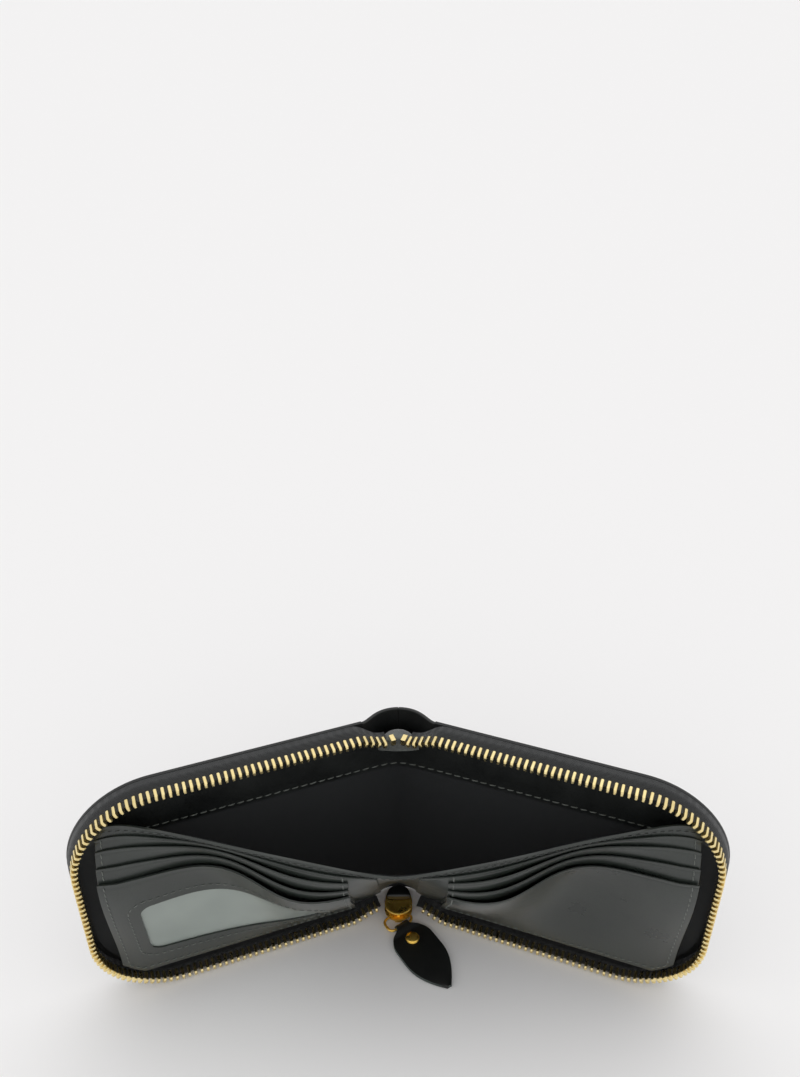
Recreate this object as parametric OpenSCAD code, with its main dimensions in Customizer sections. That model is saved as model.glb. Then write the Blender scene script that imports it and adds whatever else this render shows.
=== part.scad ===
// Zip-around wallet, standing open on its lower edges.
// Frame: +X to the wallet's right, +Y to its back (the spine), +Z up, millimetres.
// The origin is the bottom centre of the bounding box, on the surface the wallet stands on.
//
// Each half is drawn in its own frame: X runs from the fold line along the cover to the
// fore edge, Y runs from the plane where the two zip chains meet out to the cover, Z is up.
// half_frame() then turns it to its open position.

/* [Covers] */
// Length of one cover, from the fold line to the fore edge
panel_l = 115; // [108:0.5:140]
// Height of the covers
panel_h = 97; // [88:1:120]
// Radius of the covers' two outer corners
corner_r = 31.5; // [16:0.5:36]
// Half of the closed thickness, from the cover's outer face to the chain
half_t = 9.5; // [9:0.5:14]
// Angle between the two covers as the wallet stands
open_angle = 139.6; // [125:1:150]
// Thickness of the cover leather
leather_t = 1.2; // [0.8:0.1:1.6]
// Thickness of the stiffening board inside each cover
board_t = 0.8; // [0.5:0.1:1.2]
// Thickness of the lining cloth
lining_t = 0.5; // [0.3:0.1:0.8]
// Height of the leather facing at the top of the note compartment
facing_h = 22; // [12:1:30]

/* [Spine] */
// Distance from the fold line to the near edge of each cover
spine_gap = 10.5; // [9:0.5:14]
// How far the spine leather bulges behind the fold line
spine_reach = 13; // [11.5:0.1:14]

/* [Zip] */
// From the edge of the cover in to the middle of the zip
zip_inset = 1.7; // [1.6:0.1:4]
// Spacing of the teeth along one tape
tooth_pitch = 2.3; // [2.1:0.1:3]
// Thickness of a tooth along the chain
tooth_w = 1.0; // [0.8:0.1:1]
// Length of a tooth, from its tip to the ends of its legs
tooth_l = 4.3; // [3.8:0.1:5]
// Height of a tooth through the tape
tooth_t = 2.3; // [1.8:0.1:2.4]
// How far a tooth's head reaches past the middle of the chain
head_reach = 0.8; // [0.4:0.1:0.9]
// Thickness of the zip tape
tape_t = 0.5; // [0.3:0.1:0.7]

/* [Slider] */
// Width of the slider's plates
slider_w = 10.8; // [9:0.2:12]
// Length of the slider
slider_l = 12; // [10:0.5:14]
// Thickness of each slider plate
plate_t = 0.9; // [0.7:0.1:1.1]
// How far the slider runs out along the lower edge
slider_travel = 72; // [50:1:74]

/* [Pull] */
// Diameter of the pull ring's wire
wire_d = 1.0; // [0.8:0.1:1.2]
// Width of the pull ring between wire centres
ring_w = 10.6; // [9:0.2:13]
// Length of the pull ring between wire centres
ring_l = 6; // [6:0.2:9]
// Length of the leather tab from the ring's wire to its tip
tab_l = 31; // [22:1:45]
// Width of the leather tab
tab_w = 16.5; // [13:0.5:20]
// Thickness of one layer of the tab's leather
tab_t = 0.75; // [0.5:0.05:0.8]
// Diameter of the rivet's cap
rivet_d = 5.4; // [4:0.2:6.5]
// Distance of the rivet from the ring's wire
rivet_in = 6.8; // [6:0.2:12]
// How far the ring's bar has slid through the bridge, to the left
ring_slip = 2.2; // [0:0.1:2.4]
// How far the pull is turned to the right
pull_turn = 34; // [0:1:34]

/* [Card panels] */
// How far the divider's top leans forward at the fold
lean = 44; // [40:1:52]
// How far the divider's top droops at the fold
droop = 17; // [4:0.5:22]
// Height of the divider's lower edge
panel_low = 9; // [8:0.5:11]
// Height of the divider's top edge before it droops
panel_top = 88.5; // [80:0.5:90]
// Distance from the divider's top edge down to the first slot
slot_first = 7.3; // [6.5:0.1:9]
// Spacing of the card slots' edges
slot_step = 6.4; // [5.5:0.1:8]
// Distance from the cover's fore edge to the card panel's
panel_margin = 9.4; // [9:0.2:15]
// How far a slot's mouth stands open
slot_gape = 1; // [0.5:0.5:5]
// Thickness of the divider
divider_t = 1.1; // [0.8:0.1:1.2]
// Thickness of the card slot leather
slot_t = 0.6; // [0.4:0.05:0.6]
// Height of the identity card window
window_h = 29.5; // [24:0.5:33]
// Length of the identity card window
window_l = 63; // [50:1:66]

/* [Hidden] */

leather_black = [0.07, 0.07, 0.07];
lining_black = [0.04, 0.04, 0.05];
panel_grey = [0.17, 0.18, 0.17];
tape_black = [0.06, 0.06, 0.07];
gold = [0.86, 0.70, 0.32];
film_grey = [0.62, 0.66, 0.65];

skin_gap = 0.05;                        // room between stacked layers
side_angle = (180 - open_angle) / 2;    // each cover's angle back from a flat line
inner_near = spine_gap + 0.9;            // where the board, lining and facing start
lining_face = half_t - leather_t - board_t - lining_t - 2 * skin_gap;

// ---- slider stack, measured up from the surface the wallet stands on -------
bridge_t = 0.6;
bridge_room = wire_d + 0.5;
stack_lift = 0.1;
wire_z = stack_lift + bridge_t + bridge_room / 2;
outer_plate_z = stack_lift + bridge_t + bridge_room + 0.7;
channel_h = tooth_t + 0.6;
slider_mid_z = outer_plate_z + plate_t + channel_h / 2;

// ---- zip path -------------------------------------------------------------
chain_r = corner_r - zip_inset;
chain_far = panel_l - zip_inset;
chain_low = zip_inset;
chain_high = panel_h - zip_inset;
chain_start = 8.6;                      // first tooth, just clear of the slider
chain_end = 3.2;                        // last tooth at the top of the spine
run_low = chain_far - chain_r - chain_start;
run_arc = chain_r * PI / 2;
run_side = chain_high - chain_low - 2 * chain_r;
run_high = chain_far - chain_r - chain_end;
run_all = run_low + 2 * run_arc + run_side + run_high;
bend_l = 11;                            // stretch over which the chain's ends turn inwards
end_rise = slider_mid_z - zip_inset;  // the lower end climbs to the slider's height
end_dip = 3.2;                          // the upper end sinks into the spine
tooth_count = floor(run_all / tooth_pitch);

// Smooth step from 0 to 1.
function ease(t) = let (c = min(max(t, 0), 1)) c * c * (3 - 2 * c);

// Point [x, z] at distance d along the chain from its slider end, before its ends bend.
function chain_flat(d) =
    d < run_low ? [chain_start + d, chain_low] :
    d < run_low + run_arc ?
        let (a = (d - run_low) / chain_r * 180 / PI - 90)
        [chain_far - chain_r + chain_r * cos(a), chain_low + chain_r + chain_r * sin(a)] :
    d < run_low + run_arc + run_side ? [chain_far, chain_low + chain_r + d - run_low - run_arc] :
    d < run_low + 2 * run_arc + run_side ?
        let (a = (d - run_low - run_arc - run_side) / chain_r * 180 / PI)
        [chain_far - chain_r + chain_r * cos(a), chain_high - chain_r + chain_r * sin(a)] :
    [chain_far - chain_r - (d - run_low - 2 * run_arc - run_side), chain_high];

// Point [x, z] on the chain with its ends bent.
function chain_point(d) =
    let (
        p = chain_flat(d),
        rise = end_rise * (1 - ease(d / bend_l)),
        dip = end_dip * (1 - ease((run_all - d) / bend_l))
    ) [p[0], p[1] + rise - dip];

// Direction of the chain at d, in degrees from +X.
function chain_angle(d) =
    let (a = chain_point(d - 0.05), b = chain_point(d + 0.05)) atan2(b[1] - a[1], b[0] - a[0]);

// ---- card panel surface ---------------------------------------------------
card_far = (panel_l - panel_margin) * cos(side_angle);   // half width of the card panels
divider_w = lining_face - divider_t / 2 - 0.6;
apex_r = 8;                             // rounding of the panels where they cross the fold
stitch_x = 18;                          // seam that closes the card slots near the fold
wave = 5.5;                             // depth of the panels' long wave
wave_mid = 0.45 * card_far;
wave_l = 0.74 * card_far;
reach_front = lean + divider_t / 2 - divider_w / cos(side_angle) + tan(side_angle) * apex_r;
hinge_y = (reach_front - spine_reach) / 2;

function rounded(x) = sqrt(x * x + apex_r * apex_r) - apex_r;

// Forward lean of the panel surface at half-width x and share t of its height.
function lean_at(x, t) =
    lean * (1 - rounded(x) / rounded(card_far)) * t
    + wave * ease(x / stitch_x) * sin(360 * (wave_mid - x) / wave_l) * 6.75 * t * t * (1 - t);

// How far a slot layer stands off the divider, from seam to seam.
function gape(x) =
    let (s = min(max((x - stitch_x) / (card_far - stitch_x), 0), 1)) 1 - pow(2 * s - 1, 4);

// How far the panel's lower edge rises: over the slider, and round the zip's lower corner.
edge_rise = 5;
function lift(x) =
    let (
        u = x / cos(side_angle) + 2 - (chain_far - chain_r),
        arc = u > 0 ? chain_low + chain_r - sqrt(max(chain_r * chain_r - u * u, 0)) + 2 : 0
    ) max(edge_rise * (1 - ease(x / 12)), arc - panel_low);

// How far the panel's upper corner drops to pass under the zip's corner.
arc_far = card_far / cos(side_angle) - 2 - (chain_far - chain_r);
corner_drop = max(0, panel_top + 4.5 - chain_high + chain_r - sqrt(chain_r * chain_r - arc_far * arc_far));
function drop(x) =
    corner_drop * pow(max(0, (x / cos(side_angle) - 2 - (chain_far - chain_r)) / arc_far), 3);

// Point on the right half's panel: flat height z, stand-off d and open mouth g.
function panel_point(x, z, d, g) =
    let (t = (z - panel_low) / (panel_top - panel_low))
    [
        x,
        divider_w / cos(side_angle) - tan(side_angle) * (rounded(x) + apex_r)
            - lean_at(x, t) - d - g * gape(x) * t,
        z - (droop * (1 - rounded(x) / rounded(card_far)) + drop(x)) * t + lift(x) * (1 - t)
    ];

backing_d = divider_t / 2 + 0.25 + slot_t / 2;
slot_d = slot_t + 0.25;
front_d = backing_d + 3 * slot_d + 0.35;
film_t = 0.2;
film_d = front_d - slot_t / 2 - film_t / 2 - 0.1;
slot_high = panel_top - slot_first;                  // edge of the uppermost card slot
front_high = slot_high - 2 * slot_step;              // edge of the front pocket
window_low = panel_low + 12.5;
window_far = card_far - 10.8;
window_near = window_far - window_l * cos(side_angle);

// ---- shapes ---------------------------------------------------------------
// Puts one half in its open place: side 1 is the right half, side -1 the left.
module half_frame(side) {
    translate([0, hinge_y, 0])
        if (side > 0) rotate([0, 0, -side_angle]) children();
        else mirror([1, 0, 0]) rotate([0, 0, -side_angle]) children();
}

// Cover outline from x0 to the fore edge, shrunk by e all round except at x0.
module cover_outline(x0, e) {
    r = corner_r - e;
    far = panel_l - e;
    translate([x0, e]) square([far - r - x0, panel_h - 2 * e]);
    translate([far - r, e + r]) square([r, panel_h - 2 * e - 2 * r]);
    for (z = [e + r, panel_h - e - r]) translate([far - r, z]) circle(r, $fn = 96);
}

// Upright plate of a 2D outline, its outer face at w and its thickness inwards.
module upright(w, t) {
    translate([0, w, 0]) rotate([90, 0, 0]) linear_extrude(t) children();
}

module cover(side) {
    color(leather_black) half_frame(side) upright(half_t, leather_t) cover_outline(spine_gap, 0);
}

module cover_board(side) {
    color([0.45, 0.4, 0.33]) half_frame(side)
        upright(half_t - leather_t - skin_gap, board_t) cover_outline(inner_near, 3.4);
}

module lining(side) {
    color(lining_black) half_frame(side)
        upright(lining_face + lining_t, lining_t) cover_outline(inner_near, 3.4);
}

// Leather band sewn over the lining along the top of the note compartment.
module facing(side) {
    color(leather_black) half_frame(side)
        upright(lining_face - skin_gap, lining_t) intersection() {
            cover_outline(inner_near, 3.4);
            translate([0, panel_h - facing_h]) square([panel_l, facing_h]);
        }
}

tape_edge = 1.1;                        // the tape's edge inside the teeth
tape_steps = 2 * tooth_count;           // stations along the tape, half a pitch apart
module zip_tape(side) {
    sewn = half_t - leather_t - skin_gap;
    free = lining_face - lining_t - 2 * skin_gap;
    module band(d0, d1, w, t) {
        n = round(tape_steps * (d1 - d0) / run_all);
        stations = [for (i = [0:n]) d0 + (d1 - d0) * i / n];
        function edge(d, o) = let (p = chain_point(d), a = chain_angle(d))
            [p[0] - o * sin(a), p[1] + o * cos(a)];
        upright(w, t) polygon(concat(
            [for (d = stations) edge(d, tape_t / 2)],
            [for (i = [n:-1:0]) edge(stations[i], -tape_t / 2)]));
    }
    color(tape_black) half_frame(side) {
        band(-1.5, run_all, free, free - tape_edge);
        band(bend_l + 2, run_all - bend_l - 2, sewn, sewn - free + 0.5);
    }
}

// One tooth: a head, and two legs that grip the tape between them.
module tooth() {
    head = 1.5;
    leg_slot = tape_t / 2 + 0.05;
    tip = -head_reach;
    legs = tooth_l - head_reach;
    translate([-tooth_w / 2, 0, 0]) rotate([90, 0, 90]) linear_extrude(tooth_w)
        polygon([
            [tip, -tooth_t * 0.3], [tip + 0.5, -tooth_t / 2], [legs - 0.5, -tooth_t / 2],
            [legs, -tooth_t * 0.3], [legs, -leg_slot], [tape_edge - 0.05, -leg_slot],
            [tape_edge - 0.05, leg_slot], [legs, leg_slot], [legs, tooth_t * 0.3],
            [legs - 0.5, tooth_t / 2], [tip + 0.5, tooth_t / 2], [tip, tooth_t * 0.3]
        ]);
}

// The two rows sit half a pitch apart, so that they interleave when the halves meet.
module zip_teeth(side) {
    first = side > 0 ? tooth_pitch / 2 : 0;
    color(gold) half_frame(side)
        for (i = [0:floor((run_all - 0.8 - first) / tooth_pitch)]) {
            d = 0.6 + first + i * tooth_pitch;
            p = chain_point(d);
            translate([p[0], 0, p[1]]) rotate([0, -chain_angle(d), 0]) tooth();
        }
}

// Small metal stop that ends each row at the top of the spine.
module top_stop(side) {
    stop_l = 1.6;
    p = chain_point(run_all);
    a = chain_angle(run_all - 0.1);
    color(gold) half_frame(side) translate([p[0], 0, p[1]]) rotate([0, -a, 0])
        difference() {
            translate([0.8, 0.15, -tooth_t / 2]) cube([stop_l, 3.0, tooth_t]);
            translate([0.7, tape_edge - 0.05, -tape_t / 2 - 0.05])
                cube([stop_l + 0.2, 4, tape_t + 0.1]);
        }
}

// Every layer is drawn on one grid, so that neighbouring layers never cross between stations.
fold_x = 0.05;
backing_x = 7;
seam_x = stitch_x - 1.5;
grid_x = concat([fold_x, 3.5, backing_x, 11.5],
    [for (i = [0:12]) seam_x + (card_far - seam_x) * i / 12]);
slot_low = panel_low + 9;
grid_z = concat([panel_low, slot_low],
    [for (i = [1:4]) slot_low + (front_high - 2 - slot_low) * i / 4],
    [front_high, slot_high - slot_step, slot_high, slot_high + 4, panel_top - 1.5, panel_top]);
function within(list, low, high) = [for (v = list) if (v > low - 0.01 && v < high + 0.01) v];

// Curved leather layer on one half, over the grid lines from x0 to x1 and z0 to z1.
module layer(side, x0, x1, z0, z1, d, t, g) {
    xs = within(grid_x, x0, x1);
    zs = within(grid_z, z0, z1);
    nx = len(xs) - 1;
    nz = len(zs) - 1;
    function at(i, j, face) = panel_point(xs[i], zs[j], d + face * t / 2, g);
    function id(i, j, face) = (face > 0 ? (nx + 1) * (nz + 1) : 0) + j * (nx + 1) + i;
    points = [for (face = [-1, 1], j = [0:nz], i = [0:nx]) at(i, j, face)];
    back = [for (j = [0:nz - 1], i = [0:nx - 1])
        each [[id(i, j, -1), id(i, j + 1, -1), id(i + 1, j + 1, -1)],
              [id(i, j, -1), id(i + 1, j + 1, -1), id(i + 1, j, -1)]]];
    front = [for (j = [0:nz - 1], i = [0:nx - 1])
        each [[id(i, j, 1), id(i + 1, j + 1, 1), id(i, j + 1, 1)],
              [id(i, j, 1), id(i + 1, j, 1), id(i + 1, j + 1, 1)]]];
    rims = [for (i = [0:nx - 1])
        each [[id(i, 0, -1), id(i + 1, 0, -1), id(i + 1, 0, 1), id(i, 0, 1)],
              [id(i, nz, -1), id(i, nz, 1), id(i + 1, nz, 1), id(i + 1, nz, -1)]]];
    ends = [for (j = [0:nz - 1])
        each [[id(0, j, -1), id(0, j, 1), id(0, j + 1, 1), id(0, j + 1, -1)],
              [id(nx, j, -1), id(nx, j + 1, -1), id(nx, j + 1, 1), id(nx, j, 1)]]];
    translate([0, hinge_y, 0])
        if (side > 0) polyhedron(points, concat(back, front, rims, ends));
        else mirror([1, 0, 0]) polyhedron(points, concat(back, front, rims, ends));
}

module divider(side) {
    color(panel_grey)
        layer(side, fold_x, card_far, panel_low, panel_top, 0.1, divider_t - 0.2, 0);
}

module divider_lining(side) {
    t = 0.3;
    color(lining_black)
        layer(side, fold_x, card_far, panel_low, panel_top - 1.5, -divider_t / 2 - t / 2, t, 0);
}

module card_backing(side) {
    color(panel_grey)
        layer(side, backing_x, card_far, panel_low, slot_high + 4, backing_d, slot_t, 0);
}

module slot_upper(side) {
    color(panel_grey) layer(side, seam_x, card_far, slot_low, slot_high,
        backing_d + slot_d, slot_t, slot_gape * 0.25);
}

module slot_middle(side) {
    color(panel_grey) layer(side, seam_x, card_far, slot_low, slot_high - slot_step,
        backing_d + 2 * slot_d, slot_t, slot_gape * 0.55);
}

// Upright prism that cuts the identity card window out of the front pocket.
module window_cutter() {
    r = 3;
    translate([-window_near, hinge_y - reach_front, 0]) rotate([90, 0, 180])
        linear_extrude(reach_front * 2, center = true) {
            w = window_far - window_near;
            translate([0, window_low + r]) square([w, window_h - 2 * r]);
            translate([r, window_low]) square([w - 2 * r, window_h]);
            for (x = [r, w - r], z = [window_low + r, window_low + window_h - r])
                translate([x, z]) circle(r, $fn = 48);
        }
}

module front_pocket(side) {
    color(panel_grey) difference() {
        layer(side, seam_x, card_far, panel_low, front_high, front_d, slot_t, slot_gape);
        if (side < 0) window_cutter();
    }
}

module id_window() {
    color(film_grey) layer(-1, seam_x, card_far, panel_low, front_high - 2, film_d, film_t, slot_gape);
}

// Arc of the spine, seen from above: it springs from the covers' ends and bulges back.
spine_side = [spine_gap * cos(side_angle) + half_t * sin(side_angle),
              half_t * cos(side_angle) - spine_gap * sin(side_angle)];
arch_half = spine_gap * cos(side_angle) + (half_t - leather_t) * sin(side_angle) - skin_gap;
arch_rise = spine_reach - spine_side[1];
arch_r = (arch_half * arch_half + arch_rise * arch_rise) / (2 * arch_rise);
arch_y = hinge_y + spine_reach - arch_r;

// Curved upright strip between two radii of the spine's arc.
module spine_strip(inset, t, half, z0, z1) {
    translate([0, 0, z0]) linear_extrude(z1 - z0) intersection() {
        difference() {
            translate([0, arch_y]) circle(arch_r - inset, $fn = 120);
            translate([0, arch_y]) circle(arch_r - inset - t, $fn = 120);
        }
        translate([-half, arch_y + arch_r / 4]) square([2 * half, arch_r]);
    }
}

module spine_leather() {
    color(leather_black) spine_strip(0, leather_t, arch_half, 0.3, panel_h - 0.3);
}

// The lining crosses the fold as a rounded V between the two covers' linings.
fold_r = 4;
fold_half = arch_half - leather_t + 0.4;
function fold_round(x) = sqrt(x * x + fold_r * fold_r) - fold_r;
function fold_y(x) = lining_face / cos(side_angle)
    - tan(side_angle) * (fold_round(x) + fold_half - fold_round(fold_half));
module spine_lining() {
    n = 24;
    xs = [for (i = [0:n]) fold_half * (2 * i / n - 1)];
    color(lining_black) translate([0, hinge_y, 8.2]) linear_extrude(panel_h - 17.7) polygon(concat(
        [for (i = [0:n]) [xs[i], fold_y(xs[i])]],
        [for (i = [n:-1:0]) [xs[i], fold_y(xs[i]) + lining_t]]));
}

// Suede tab that fills the gap between the two tapes at an end of the zip.
module end_tab(z, t, half, back) {
    color([0.3, 0.32, 0.3]) translate([0, hinge_y, z]) linear_extrude(t) intersection() {
        circle(back, $fn = 64);
        translate([-half, -1.5]) square([2 * half, back + 2]);
    }
}

module zip_end_tab_top() {
    end_tab(panel_h - zip_inset - end_dip - tooth_t / 2 - 2.2, 2, 6.5, 9);
}

module zip_end_tab_bottom() {
    end_tab(slider_mid_z + channel_h / 2 + plate_t + 1.2, 1.4, 4.6, 5.6);
}

// The metal box that joins the two tapes behind the slider.
slider_back = slider_l * 0.42;
slider_front = slider_l - slider_back;
module bottom_stop() {
    stop_w = 4.6;
    stop_l = 1.8;
    color(gold) translate([-stop_w / 2, hinge_y + slider_back + 0.1, slider_mid_z - 1.1])
        cube([stop_w, stop_l, 2.2]);
}

// Shield-shaped slider plate: a round shoulder in front and a narrower tail.
module slider_plate(z) {
    tail_w = slider_w * 0.72;
    shoulder_r = slider_w / 2;
    translate([0, hinge_y, z]) linear_extrude(plate_t) {
        translate([0, shoulder_r - slider_front]) circle(shoulder_r, $fn = 64);
        translate([-tail_w / 2, shoulder_r - slider_front])
            square([tail_w, slider_l - shoulder_r]);
    }
}

module slider_body() {
    low = slider_mid_z - channel_h / 2 - plate_t;
    post_r = 0.75;
    rim_h = 0.7;
    rim_w = 0.6;
    tail_w = slider_w * 0.72;
    color(gold) {
        difference() {
            union() {
                slider_plate(low);
                slider_plate(low + plate_t + channel_h);
                translate([0, hinge_y - slider_front + 2.2, low])
                    cylinder(2 * plate_t + channel_h, r = post_r, $fn = 32);
                for (s = [-1, 1], z = [low + plate_t, low + plate_t + channel_h - rim_h])
                    translate([s * (tail_w - rim_w) / 2 - rim_w / 2, hinge_y - 0.5, z])
                        cube([rim_w, slider_back + 0.5, rim_h]);
            }
            // Slot in the outer plate for the lock spring's tooth.
            translate([-0.5, hinge_y + 1.6, low - 1]) cube([1, 1.4, plate_t + 1.5]);
        }
    }
}

// Arched strap under the outer plate, which holds the pull ring.
bridge_w = 2.6;
bridge_l = 7.2;
bridge_y = -1.6;                        // middle of the strap, from the fold line
module slider_bridge() {
    leg = 0.9;
    low = slider_mid_z - channel_h / 2 - plate_t;
    color(gold) translate([-bridge_w / 2, hinge_y + bridge_y - bridge_l / 2, 0]) {
        translate([0, 0, stack_lift]) cube([bridge_w, bridge_l, bridge_t]);
        for (y = [0, bridge_l - leg]) translate([0, y, stack_lift])
            cube([bridge_w, leg, low - stack_lift - 0.02]);
    }
}

// Leaf spring that lies under the outer plate, with a tooth that drops into the chain.
module slider_lock_spring() {
    low = slider_mid_z - channel_h / 2 - plate_t;
    spring_t = 0.25;
    color([0.75, 0.75, 0.75]) {
        translate([-0.8, hinge_y + bridge_y - bridge_l / 2 + 1.0, low - spring_t - 0.05])
            cube([1.6, bridge_l - 2.0, spring_t]);
        translate([-0.3, hinge_y + 1.75, low - 0.1]) cube([0.6, 0.15, plate_t + 0.6]);
    }
}

// ---- pull -----------------------------------------------------------------
// The pull's own frame: X across, -Y from the bridge to the tab's tip, Z up.
module pull_frame() {
    translate([0, hinge_y + bridge_y, wire_z]) rotate([0, 0, pull_turn])
        translate([-ring_slip, 0, 0]) children();
}

ring_corner = 2.2;
module ring_corner_arc(x, y, a) {
    translate([x, y, 0]) rotate([0, 0, a]) rotate_extrude(angle = 90, $fn = 48)
        translate([ring_corner, 0]) circle(d = wire_d, $fn = 24);
}

// Oblong wire ring: two long bars across and two short ones along.
module pull_ring() {
    bar = ring_w - 2 * ring_corner;
    arm = ring_l - 2 * ring_corner;
    color(gold) pull_frame() {
        for (y = [0, -ring_l]) translate([-bar / 2, y, 0]) rotate([0, 90, 0])
            cylinder(bar, d = wire_d, $fn = 24);
        for (x = [-ring_w / 2, ring_w / 2]) translate([x, -ring_l + ring_corner, 0])
            rotate([-90, 0, 0]) cylinder(arm, d = wire_d, $fn = 24);
        ring_corner_arc(bar / 2, -ring_corner, 0);
        ring_corner_arc(-bar / 2, -ring_corner, 90);
        ring_corner_arc(-bar / 2, ring_corner - ring_l, 180);
        ring_corner_arc(bar / 2, ring_corner - ring_l, 270);
    }
}

// Leaf outline of the tab, from the wire at y = 0 to the tip.
neck_w = ring_w - 2 * ring_corner - 0.6;
module tab_outline() {
    shoulder = 7.4;
    straight = 0.25 * tab_l;
    taper = tab_l - shoulder - straight;
    function half_width(s) = tab_w / 2 * (1 - 0.92 * pow(s, 1.9));
    edge = [for (i = [0:10]) let (s = i / 10) [half_width(s), -shoulder - straight - taper * s]];
    right = concat([[neck_w / 2, 0], [neck_w / 2, -0.9], [tab_w * 0.36, -2.2],
        [tab_w * 0.45, -4.4], [tab_w / 2, -shoulder]], edge);
    polygon(concat(right, [for (i = [len(right) - 1:-1:0]) [-right[i][0], right[i][1]]]));
}

rivet_y = -ring_l - rivet_in;
module pull_tab() {
    bore_r = wire_d / 2 + 0.05;
    fold_r = bore_r + tab_t;
    hole_r = 1.0;
    color(leather_black) pull_frame() difference() {
        union() {
            translate([0, -ring_l, -fold_r]) linear_extrude(2 * tab_t) tab_outline();
            translate([-neck_w / 2, -ring_l, 0]) rotate([0, 90, 0])
                cylinder(neck_w, r = fold_r, $fn = 48);
        }
        translate([-neck_w, -ring_l, 0]) rotate([0, 90, 0]) cylinder(2 * neck_w, r = bore_r, $fn = 48);
        translate([0, rivet_y, -3]) cylinder(6, r = hole_r, $fn = 32);
    }
}

// Domed cap with its post through both layers of the tab.
module rivet_cap() {
    fold_r = wire_d / 2 + 0.05 + tab_t;
    top = 2 * tab_t - fold_r;
    color(gold) pull_frame() translate([0, rivet_y, 0]) {
        translate([0, 0, top + 0.02]) cylinder(0.9, r1 = rivet_d / 2, r2 = rivet_d / 2 - 0.15, $fn = 48);
        translate([0, 0, top + 0.92]) cylinder(0.35, r1 = rivet_d / 2 - 0.15, r2 = rivet_d / 2 - 1, $fn = 48);
        translate([0, 0, -fold_r + 0.35]) cylinder(2 * tab_t - 0.3, r = 0.95, $fn = 32);
    }
}

// Thin washer under the tab that the post is set against.
module rivet_base() {
    fold_r = wire_d / 2 + 0.05 + tab_t;
    color(gold) pull_frame() translate([0, rivet_y, -fold_r])
        cylinder(0.3, r = 0.93, $fn = 32);
}

// ---- output ---------------------------------------------------------------
cover(-1);  // cover_left
cover(1);  // cover_right
cover_board(-1);  // cover_board_left
cover_board(1);  // cover_board_right
lining(-1);  // lining_left
lining(1);  // lining_right
facing(-1);  // facing_left
facing(1);  // facing_right
zip_tape(-1);  // zip_tape_left
zip_tape(1);  // zip_tape_right
zip_teeth(-1);  // zip_teeth_left
zip_teeth(1);  // zip_teeth_right
top_stop(-1);  // top_stop_left
top_stop(1);  // top_stop_right
divider(-1);  // divider_left
divider(1);  // divider_right
divider_lining(-1);  // divider_lining_left
divider_lining(1);  // divider_lining_right
card_backing(-1);  // card_backing_left
card_backing(1);  // card_backing_right
slot_upper(-1);  // slot_upper_left
slot_upper(1);  // slot_upper_right
slot_middle(-1);  // slot_middle_left
slot_middle(1);  // slot_middle_right
front_pocket(-1);  // front_pocket_left
front_pocket(1);  // front_pocket_right
id_window();
spine_leather();
spine_lining();
zip_end_tab_top();
zip_end_tab_bottom();
bottom_stop();
slider_body();
slider_bridge();
slider_lock_spring();
pull_ring();
pull_tab();
rivet_cap();
rivet_base();
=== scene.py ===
"""Zip-around wallet, standing open on its lower edges.

Every surface is worked out with numpy in millimetres, in the same frame as the CAD: +X to the
wallet's right, +Y to the spine, +Z up. A half has its own flat frame: u runs from the fold line
along the cover, w from the plane where the two zip chains meet out to the cover, z is up.
"""
import logging
import math
from dataclasses import dataclass, field
from enum import Enum
from typing import Any, Optional, Sequence

import bmesh
import bpy
import numpy as np
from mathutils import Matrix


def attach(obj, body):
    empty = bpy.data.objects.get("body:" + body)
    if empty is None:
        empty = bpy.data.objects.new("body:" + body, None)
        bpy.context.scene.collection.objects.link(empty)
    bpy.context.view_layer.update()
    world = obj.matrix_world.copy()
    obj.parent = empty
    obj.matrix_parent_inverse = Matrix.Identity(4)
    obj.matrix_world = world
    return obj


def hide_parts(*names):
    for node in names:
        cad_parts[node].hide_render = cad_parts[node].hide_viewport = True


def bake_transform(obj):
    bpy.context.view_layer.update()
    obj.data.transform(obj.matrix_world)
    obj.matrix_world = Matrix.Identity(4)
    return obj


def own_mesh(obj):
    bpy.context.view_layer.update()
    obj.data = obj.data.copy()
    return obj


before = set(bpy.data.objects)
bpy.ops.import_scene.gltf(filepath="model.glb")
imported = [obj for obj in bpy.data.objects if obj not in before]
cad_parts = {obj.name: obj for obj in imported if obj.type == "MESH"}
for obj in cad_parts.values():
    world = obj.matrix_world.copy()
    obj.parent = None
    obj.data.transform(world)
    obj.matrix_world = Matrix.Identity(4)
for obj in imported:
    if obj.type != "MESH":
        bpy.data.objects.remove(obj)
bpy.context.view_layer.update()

Array = np.ndarray
log = logging.getLogger("wallet")
MM = 0.001


class Side(Enum):
    """The wallet's two halves, with the sign of X on each."""

    LEFT = -1
    RIGHT = 1

    @property
    def word(self) -> str:
        """The half's word in node, body and joint names."""
        return self.name.lower()


class Weave(Enum):
    """How a cloth's threads cross."""

    PLAIN = "plain"
    HERRINGBONE = "herringbone"


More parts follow.
